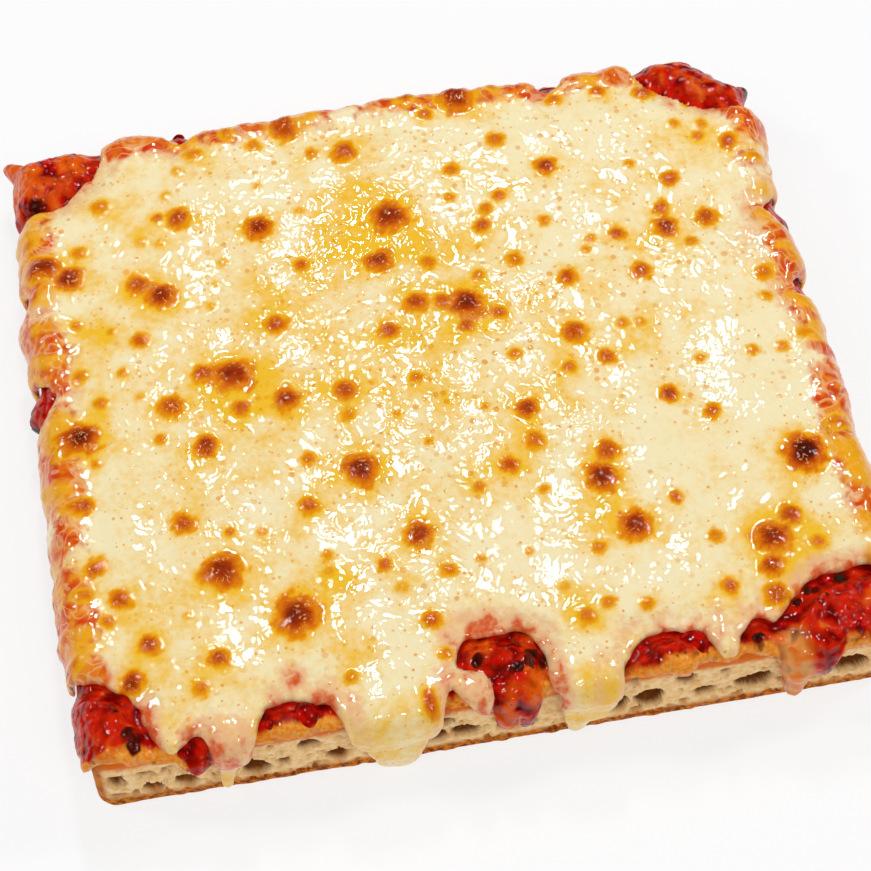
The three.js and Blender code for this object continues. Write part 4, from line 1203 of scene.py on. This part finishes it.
def on_sauce(places, sink):
    """Points on the bare sauce at laid-out places, sunk by a share of each radius."""
    across, along, radius = np.array(places, float).T
    return wrap(across, along, sauce_over(across, along) - sink * radius), radius


# %% Sauce drops
# Wet drops that stand out of the sauce: across, along, radius.
SAUCE_DROPS = [
    (-34.8, -65.2, 2.6), (34, -64, 2.9), (-41, -65.6, 1.1), (-61, 58, 1.3),
    (-56.5, -67, 1.3), (62.5, -66, 1.2), (-40.5, 67.5, 1.3),
]
drop_places, drop_radii = on_sauce(SAUCE_DROPS, 0.25)
sauce_drops = scattered("sauce_drops", drop_places, drop_radii, 0.6, 0.06, 71)

# %% Herb flecks
# Flecks that lie on the bare sauce: across, along, radius.
HERBS = [
    (56.5, -57.6, 0.7), (62.5, -56.6, 0.8), (54, -59.6, 0.6), (59, -60, 0.4), (-67, -59, 0.4),
]
herb_places, herb_radii = on_sauce(HERBS, 0.0)
herb_flecks = scattered("herb_flecks", herb_places, herb_radii, 0.3, 0.5, 73, 0.8)

# %% [markdown]
# ## Colours and shared effects
# Colours are written as on a colour picker and turned into the linear values that a shader
# needs. Two effects are node groups: `speckles`, which scatters dots in three of the materials,
# and `browned colours`, which turns a browning level into gold, orange, red-brown and black.

# %% Node helpers
def paint(red, green, blue):
    """A colour picker's 0 to 255 as the linear colour that a shader takes."""
    values = np.array([red, green, blue]) / 255
    linear = np.where(values <= 0.04045, values / 12.92, ((values + 0.055) / 1.055) ** 2.4)
    return (*[float(value) for value in linear], 1.0)


def place_node(tree, kind, **settings):
    """A new node with its settings. A key in `inputs` is a socket, and a value is a number or a link."""
    inputs = settings.pop("inputs", {})
    node = tree.nodes.new(kind)
    for name, value in settings.items():
        setattr(node, name, value)
    for key, value in inputs.items():
        if isinstance(value, bpy.types.NodeSocket):
            tree.links.new(value, node.inputs[key])
        else:
            node.inputs[key].default_value = value
    return node


def calculate(tree, operation, *values, clamp=False):
    """The output of a Math node."""
    inputs = dict(enumerate(values))
    node = place_node(tree, "ShaderNodeMath", operation=operation, use_clamp=clamp, inputs=inputs)
    return node.outputs[0]


def added(tree, first, second):
    """The sum of two values."""
    return calculate(tree, "ADD", first, second)


def times(tree, first, second):
    """The product of two values."""
    return calculate(tree, "MULTIPLY", first, second)


def centred(tree, noise, size):
    """Noise that goes both ways from 0: less its middle value, times a size."""
    return times(tree, calculate(tree, "SUBTRACT", noise, 0.5), size)


print("a linear middle grey:", round(paint(128, 128, 128)[0], 3))

# %% Helpers for colours, ranges and patterns
def blend_colours(tree, share, first, second):
    """The output of a colour mix, from the first to the second."""
    inputs = {0: share, 6: first, 7: second}
    node = place_node(tree, "ShaderNodeMix", data_type="RGBA", clamp_factor=True, inputs=inputs)
    return node.outputs[2]


def lay_colours(tree, colour, layers):
    """Colours laid over a first one in turn, each a pair of its share and the colour."""
    for share, tint in layers:
        colour = blend_colours(tree, share, colour, tint)
    return colour


def spread_values(tree, value, low, high):
    """A smooth 0 to 1 as a value goes from low to high."""
    inputs = {"Value": value, "From Min": low, "From Max": high}
    node = place_node(tree, "ShaderNodeMapRange", interpolation_type="SMOOTHSTEP", inputs=inputs)
    return node.outputs["Result"]


def attribute_of(tree, name, output="Fac"):
    """An attribute that the piece's mesh carries."""
    return place_node(tree, "ShaderNodeAttribute", attribute_name=name).outputs[output]


def ragged(tree, name, noise, low, high):
    """A smooth 0 to 1 as an attribute plus noise goes from low to high, so its border is ragged."""
    return spread_values(tree, added(tree, attribute_of(tree, name), noise), low, high)


def noise_of(tree, vector, scale, detail=2.0, roughness=0.5, distortion=0.0):
    """Noise between about 0 and 1 on a vector, with a scale in waves a metre."""
    node = place_node(tree, "ShaderNodeTexNoise", inputs={
        "Vector": vector, "Scale": scale, "Detail": detail, "Roughness": roughness, "Distortion": distortion,
    })
    return node.outputs["Fac"]


def colour_steps(tree, value, steps):
    """A colour ramp from (position, colour) pairs."""
    node = place_node(tree, "ShaderNodeValToRGB")
    tree.links.new(value, node.inputs["Fac"])
    ramp = node.color_ramp
    while len(ramp.elements) < len(steps):
        ramp.elements.new(0.5)
    for element, (position, colour) in zip(ramp.elements, steps):
        element.position = position
        element.color = colour
    return node.outputs["Color"]


# %% Shared groups
def new_group(name, inputs, outputs):
    """An empty node group with named sockets: (name, type, default) and (name, type)."""
    group = bpy.data.node_groups.new(name, "ShaderNodeTree")
    for socket, kind, default in inputs:
        made = group.interface.new_socket(socket, in_out="INPUT", socket_type=kind)
        if default is not None:
            made.default_value = default
    for socket, kind in outputs:
        group.interface.new_socket(socket, in_out="OUTPUT", socket_type=kind)
    return group, group.nodes.new("NodeGroupInput"), group.nodes.new("NodeGroupOutput")


def speckles_group():
    """Small dots of uneven size and strength, scattered by a Voronoi pattern."""
    group, given, result = new_group(
        "speckles",
        [("Vector", "NodeSocketVector", None), ("Scale", "NodeSocketFloat", 400.0),
         ("Size", "NodeSocketFloat", 0.15), ("Share", "NodeSocketFloat", 0.5)],
        [("Mask", "NodeSocketFloat")],
    )
    pattern = place_node(group, "ShaderNodeTexVoronoi", inputs={
        "Vector": given.outputs["Vector"], "Scale": given.outputs["Scale"],
    })
    parts = place_node(group, "ShaderNodeSeparateColor", inputs={"Color": pattern.outputs["Color"]})
    chosen = calculate(group, "LESS_THAN", parts.outputs["Red"], given.outputs["Share"])
    size = times(group, given.outputs["Size"], added(group, parts.outputs["Green"], 0.5))
    nearness = calculate(group, "DIVIDE", pattern.outputs["Distance"], size)
    dot = calculate(group, "SUBTRACT", 1.0, spread_values(group, nearness, 0.5, 1.0))
    strength = times(group, chosen, added(group, parts.outputs["Blue"], 0.4))
    mask = calculate(group, "MULTIPLY", dot, strength, clamp=True)
    group.links.new(mask, result.inputs["Mask"])
    return group


def browned_group():
    """Browning laid on a base colour: gold, orange, red-brown, then nearly black."""
    group, given, result = new_group(
        "browned colours",
        [("Base", "NodeSocketColor", None), ("Level", "NodeSocketFloat", 0.0)],
        [("Color", "NodeSocketColor")],
    )
    level = times(group, given.outputs["Level"], 0.86)
    toasted = colour_steps(group, level, [
        (0.0, paint(250, 208, 84)), (0.15, paint(249, 190, 36)), (0.3, paint(243, 166, 16)),
        (0.45, paint(230, 130, 14)), (0.62, paint(208, 92, 12)), (0.8, paint(160, 52, 10)),
        (1.0, paint(80, 20, 8)),
    ])
    cover = spread_values(group, level, 0.02, 0.3)
    group.links.new(blend_colours(group, cover, given.outputs["Base"], toasted), result.inputs["Color"])
    return group


speckles = speckles_group()
browned = browned_group()
print("groups:", speckles.name, "and", browned.name)

# %% Helpers for materials
def use_group(tree, group, **inputs):
    """A shared group placed in a material."""
    return place_node(tree, "ShaderNodeGroup", node_tree=group, inputs=inputs)


def new_material(name, **sockets):
    """A material whose shader has its constant sockets set. Gives its tree, shader and vector."""
    material = bpy.data.materials.new(name)
    material.use_nodes = True
    tree = material.node_tree
    shader = tree.nodes["Principled BSDF"]
    for key, value in sockets.items():
        shader.inputs[key.replace("_", " ")].default_value = value
    place = tree.nodes.new("ShaderNodeTexCoord").outputs["Object"]
    return material, tree, shader, place


def dots_of(tree, place, scale, size, share):
    """The speckles' mask at one scale in dots a metre."""
    return use_group(tree, speckles, Vector=place, Scale=scale, Size=size, Share=share).outputs["Mask"]


def roughen(tree, shader, value, low, high):
    """Roughness from low to high as a value goes from 0 to 1."""
    node = place_node(tree, "ShaderNodeMapRange", inputs={"Value": value, "To Min": low, "To Max": high})
    tree.links.new(node.outputs["Result"], shader.inputs["Roughness"])


def emboss(tree, shader, height, strength, distance, sockets=("Normal",)):
    """A bump with a depth in metres on the surface, and on its coat where that is named too."""
    inputs = {"Height": height, "Strength": strength, "Distance": distance}
    bump = place_node(tree, "ShaderNodeBump", inputs=inputs)
    for socket in sockets:
        tree.links.new(bump.outputs["Normal"], shader.inputs[socket])


# %% [markdown]
# ## Cheese finish
# Melted mozzarella is a cream-coloured, slightly see-through fat that scatters light inside it,
# under a film of clear oil. The shader has subsurface scattering for the first and a sharp coat
# for the second. Colours are laid over each other as in paint: cream to butter yellow with the
# oil, pinkish where the sauce shows through, orange crust on the flanks, then browned. Hundreds
# of tiny bubbles, each a golden dot and a low dome, break the softbox's mirror image into lace.

# %% Mozzarella colours
def melted_colour(tree, cloud, ripple):
    """Cream, butter yellow where oily, pinkish to red where thin."""
    rippled = centred(tree, ripple, 0.7)
    cloudy = added(tree, centred(tree, cloud, 0.9), rippled)
    return lay_colours(tree, paint(252, 236, 190), [
        (ragged(tree, "oily", cloudy, 0.0, 0.85), paint(249, 194, 44)),
        (ragged(tree, "thin", rippled, 0.1, 0.8), paint(243, 190, 140)),
        (ragged(tree, "thin", rippled, 0.7, 1.1), paint(222, 92, 44)),
    ])


def crusty_colour(tree, place, below):
    """Orange crust over a colour, with red patches of sauce and pale strands of cheese."""
    patch = noise_of(tree, place, 280, 2.0, 0.5, 1.0)
    patchy = centred(tree, patch, 1.0)
    vein = calculate(tree, "ABSOLUTE", centred(tree, noise_of(tree, place, 190, 1.0, 0.5, 1.5), 1.0))
    crust = lay_colours(tree, paint(240, 140, 34), [
        (spread_values(tree, patch, 0.35, 0.65), paint(218, 70, 14)),
        (ragged(tree, "reddish", patchy, 0.3, 0.7), paint(196, 32, 16)),
        (times(tree, spread_values(tree, vein, 0.06, 0.0), 0.5), paint(248, 206, 156)),
    ])
    return lay_colours(tree, below, [
        (ragged(tree, "crust", patchy, 0.25, 0.75), crust),
        (times(tree, ragged(tree, "reddish", patchy, 0.35, 0.9), 0.75), paint(206, 62, 28)),
    ])


def spotted_colour(tree, level, spokes, below):
    """Browned spots over a colour, broken up inside, with painted highlights on their tops: pale flecks that
    stand in for glints.
    """
    broken = times(tree, centred(tree, spokes, 0.4), spread_values(tree, level, 0.03, 0.3))
    spotted = use_group(tree, browned, Base=below, Level=added(tree, level, broken)).outputs["Color"]
    # Painted highlights: pale flecks on the darker spots' tops that stand in for glints.
    painted_glints = noise_of(tree, attribute_of(tree, "spot", "Vector"), 3.6, 1.0, 0.5, 1.2)
    painted_glints = times(tree, spread_values(tree, painted_glints, 0.62, 0.68), spread_values(tree, level, 0.45, 0.6))
    return blend_colours(tree, times(tree, painted_glints, 0.7), spotted, paint(240, 178, 110))


# %% Mozzarella material
def mozzarella_material():
    """Cream to yellow, pinkish where thin, browned at the spots, with a bubbly wet surface."""
    material, tree, shader, place = new_material(
        "melted mozzarella", IOR=1.4, Specular_IOR_Level=0.05, Subsurface_Weight=0.1,
        Subsurface_Scale=0.0015, Coat_Weight=0.7, Coat_Roughness=0.015, Coat_IOR=1.5,
    )
    shader.inputs["Subsurface Radius"].default_value = (1.0, 0.62, 0.3)
    level = attribute_of(tree, "browned")
    lace = attribute_of(tree, "lace")
    cloud = noise_of(tree, place, 160, 3.0)
    ripple = noise_of(tree, place, 700, 2.0, 0.55, 0.4)
    crinkle = noise_of(tree, place, 310, 0.6, 0.5, 1.6)
    spokes = noise_of(tree, attribute_of(tree, "spot", "Vector"), 2.6, 3.0, 0.6, 0.6)
    bubbles = times(tree, dots_of(tree, place, 560.0, 0.3, 0.5), lace)
    dots = dots_of(tree, place, 760.0, 0.22, 0.5)
    colour = lay_colours(tree, melted_colour(tree, cloud, ripple), [
        (times(tree, bubbles, 0.85), paint(243, 160, 14)),
        (times(tree, dots, 0.8), paint(236, 158, 20)),
    ])
    colour = spotted_colour(tree, level, spokes, crusty_colour(tree, place, colour))
    tree.links.new(colour, shader.inputs["Base Color"])
    roughen(tree, shader, cloud, 0.3, 0.5)
    waves = times(tree, crinkle, added(tree, times(tree, lace, 0.7), 0.3))
    height = added(tree, waves, times(tree, bubbles, 0.5))
    height = added(tree, height, times(tree, spokes, times(tree, level, 0.6)))
    emboss(tree, shader, height, 0.55, 0.0005, ("Normal", "Coat Normal"))
    return material


mozzarella_look = mozzarella_material()
print("material:", mozzarella_look.name)

# %% [markdown]
# ## Sauce finish
# Cooked tomato is a deep, clear red. Its lumps catch the heat and turn orange-brown and at last
# black, oil gathers round it as an orange rim, and where cheese has run into it, it is creamy.
# It is very wet, so its roughness is low and a clear coat lies on it. One function makes both
# finishes, because the drops are the same sauce without the lumps' attributes.

# %% Sauce materials
def tomato_tints(tree, place, skin, red):
    """Over the plain red: painted light on the lumps' tops, oil, the baked lip, dark dots, cream and then
    char.
    """
    noise = centred(tree, skin, 1.3)
    grain = noise_of(tree, place, 1500, 2.0)
    grainy = spread_values(tree, grain, 0.3, 0.75)
    lip = blend_colours(tree, grainy, paint(238, 132, 26), paint(248, 172, 70))
    marbled = spread_values(tree, skin, 0.35, 0.65)
    cream = blend_colours(tree, marbled, paint(250, 186, 100), paint(236, 120, 30))
    charred = attribute_of(tree, "charred")
    char = times(tree, added(tree, charred, noise), spread_values(tree, charred, 0.02, 0.2))
    return lay_colours(tree, red, [
        # Painted light: lighter red on the pulp's lump tops, so the creases stay darker.
        (times(tree, ragged(tree, "pulp", noise, 0.6, 1.1), 0.7), paint(224, 38, 6)),
        (ragged(tree, "orange", noise, 0.3, 1.1), paint(234, 96, 8)),
        (ragged(tree, "lip", noise, 0.2, 0.9), lip),
        (times(tree, dots_of(tree, place, 760.0, 0.3, 0.4), 0.6), paint(96, 14, 4)),
        (ragged(tree, "creamy", noise, 0.15, 1.3), cream),
        (spread_values(tree, char, 0.1, 0.5), paint(84, 12, 5)),
        (spread_values(tree, char, 0.5, 1.0), paint(22, 8, 5)),
    ])


def tomato_material(name, drops=False):
    """Deep red with painted shade between its beads of pulp, partly the deeper red of thicker sauce, under a
    wet coat. Drops are smoother and plain.
    """
    material, tree, shader, place = new_material(
        name, IOR=1.4, Specular_IOR_Level=0.05, Subsurface_Weight=0.04, Subsurface_Scale=0.001,
        Coat_Weight=0.45, Coat_Roughness=0.02,
    )
    shader.inputs["Subsurface Radius"].default_value = (1.0, 0.15, 0.08)
    skin = noise_of(tree, place, 380, 0.5, 0.5, 0.5)
    beads = place_node(tree, "ShaderNodeTexVoronoi", feature="SMOOTH_F1", inputs={
        "Vector": place, "Scale": 520.0, "Smoothness": 0.5,
    }).outputs["Distance"]
    # Painted shade: darker red between the beads, in the hollows of the bump, partly the deeper red of
    # thicker sauce there.
    colour = blend_colours(tree, spread_values(tree, beads, 0.2, 0.62), paint(196, 9, 2), paint(116, 2, 1))
    if not drops:
        colour = tomato_tints(tree, place, skin, colour)
    tree.links.new(colour, shader.inputs["Base Color"])
    roughen(tree, shader, skin, 0.2, 0.45)
    height = calculate(tree, "SUBTRACT", skin, beads)
    emboss(tree, shader, height, 0.05 if drops else 0.8, 0.0009, ("Normal", "Coat Normal"))
    return material


sauce_look = tomato_material("cooked tomato sauce")
drops_look = tomato_material("wet tomato drops", drops=True)
print("materials:", sauce_look.name, "and", drops_look.name)

# %% [markdown]
# ## Bread finish
# The cut face is pale beige with hollows darkened by painted shade, an oily orange band under the
# sauce and a golden-brown lower crust. The three baked sides are orange-brown all over, darker in patches.

# %% Bread material
def bread_material():
    """Crumb on the cut face, baked crust elsewhere, by the attributes and the height."""
    material, tree, shader, place = new_material(
        "baked bread", IOR=1.4, Specular_IOR_Level=0.15, Subsurface_Weight=0.12, Subsurface_Scale=0.0015,
    )
    shader.inputs["Subsurface Radius"].default_value = (1.0, 0.5, 0.25)
    height = place_node(tree, "ShaderNodeSeparateXYZ", inputs={"Vector": place}).outputs["Z"]
    grain = noise_of(tree, place, 900, 4.0, 0.6)
    patch = noise_of(tree, place, 220, 3.0, 0.6)
    dry = ragged(tree, "below_top", centred(tree, patch, 2.2), 1.6, 3.4)
    oily = calculate(tree, "SUBTRACT", 1.0, dry)
    crumb = lay_colours(tree, paint(255, 224, 170), [
        (spread_values(tree, grain, 0.3, 0.7), paint(246, 192, 122)),
        # Painted shade: the crumb darkens with each hollow's depth.
        (spread_values(tree, attribute_of(tree, "pore"), 0.05, 1.0), paint(120, 64, 18)),
        (times(tree, dots_of(tree, place, 620.0, 0.3, 0.35), 0.5), paint(184, 118, 54)),
        (oily, paint(226, 112, 18)),
    ])
    patchy = spread_values(tree, patch, 0.3, 0.75)
    crust = blend_colours(tree, patchy, paint(226, 136, 46), paint(156, 70, 18))
    grainy = spread_values(tree, grain, 0.35, 0.65)
    lower = blend_colours(tree, grainy, paint(228, 132, 34), paint(128, 56, 12))
    above_foot = spread_values(tree, added(tree, height, centred(tree, grain, 0.0016)), 0.0019, 0.0040)
    colour = blend_colours(tree, attribute_of(tree, "cut"), crust, crumb)
    tree.links.new(blend_colours(tree, above_foot, lower, colour), shader.inputs["Base Color"])
    roughen(tree, shader, oily, 0.72, 0.35)
    emboss(tree, shader, added(tree, grain, times(tree, patch, 0.6)), 0.7, 0.0005)
    return material


bread_look = bread_material()
print("material:", bread_look.name)

# %% Herb material
def herb_material():
    """Dried herb: nearly black flecks with brown veins."""
    material, tree, shader, place = new_material("dried herb", Roughness=0.6, Specular_IOR_Level=0.1)
    vein = noise_of(tree, place, 1600, 3.0)
    colour = blend_colours(tree, vein, paint(24, 12, 6), paint(62, 40, 16))
    tree.links.new(colour, shader.inputs["Base Color"])
    emboss(tree, shader, vein, 0.5, 0.0003)
    return material


herb_look = herb_material()
print("material:", herb_look.name)

# %% [markdown]
# ## Floor
# The slice lies on a light table: a pale square far larger than the view that also glows
# a little, so that it is evenly white and the slice's shadow stays faint.

# %% Floor
FLOOR_HALF = 1.5
FLOOR_GLOW = 0.775


def white_floor():
    """A large square at height zero, matt, half lit from above and half from below."""
    mesh = bpy.data.meshes.new("floor")
    corners = [(x * FLOOR_HALF, y * FLOOR_HALF, 0) for x, y in ((-1, -1), (1, -1), (1, 1), (-1, 1))]
    mesh.from_pydata(corners, [], [(0, 1, 2, 3)])
    floor = bpy.data.objects.new("floor", mesh)
    bpy.context.scene.collection.objects.link(floor)
    material, tree, shader, place = new_material("light table", Roughness=0.8, Emission_Strength=FLOOR_GLOW)
    shader.inputs["Specular IOR Level"].default_value = 0.0
    shader.inputs["Emission Color"].default_value = (1.0, 1.0, 1.0, 1.0)
    tone = blend_colours(tree, noise_of(tree, place, 3.0), (0.19, 0.19, 0.19, 1), (0.21, 0.21, 0.21, 1))
    tree.links.new(tone, shader.inputs["Base Color"])
    mesh.materials.append(material)
    return floor


floor = white_floor()

# %% [markdown]
# ## Joining the frame
# Each piece gets its finish, rides on the slice's one body and hides the solid it stands for.

# %% Finishes, bodies and replaced solids
PIECES = [
    (bread, bread_look, "baked_bread", "bread_base"),
    (sauce, sauce_look, "tomato_sauce", "tomato_sauce"),
    (cheese, mozzarella_look, "melted_cheese", "mozzarella"),
    (sauce_drops, drops_look, "tomato_sauce", None),
    (herb_flecks, herb_look, "tomato_sauce", None),
]
for piece, look, slot, node in PIECES:
    piece.data.materials.append(look)
    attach(piece, "root")
    if node:
        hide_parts(node)
    print(piece.name, "rides on root")
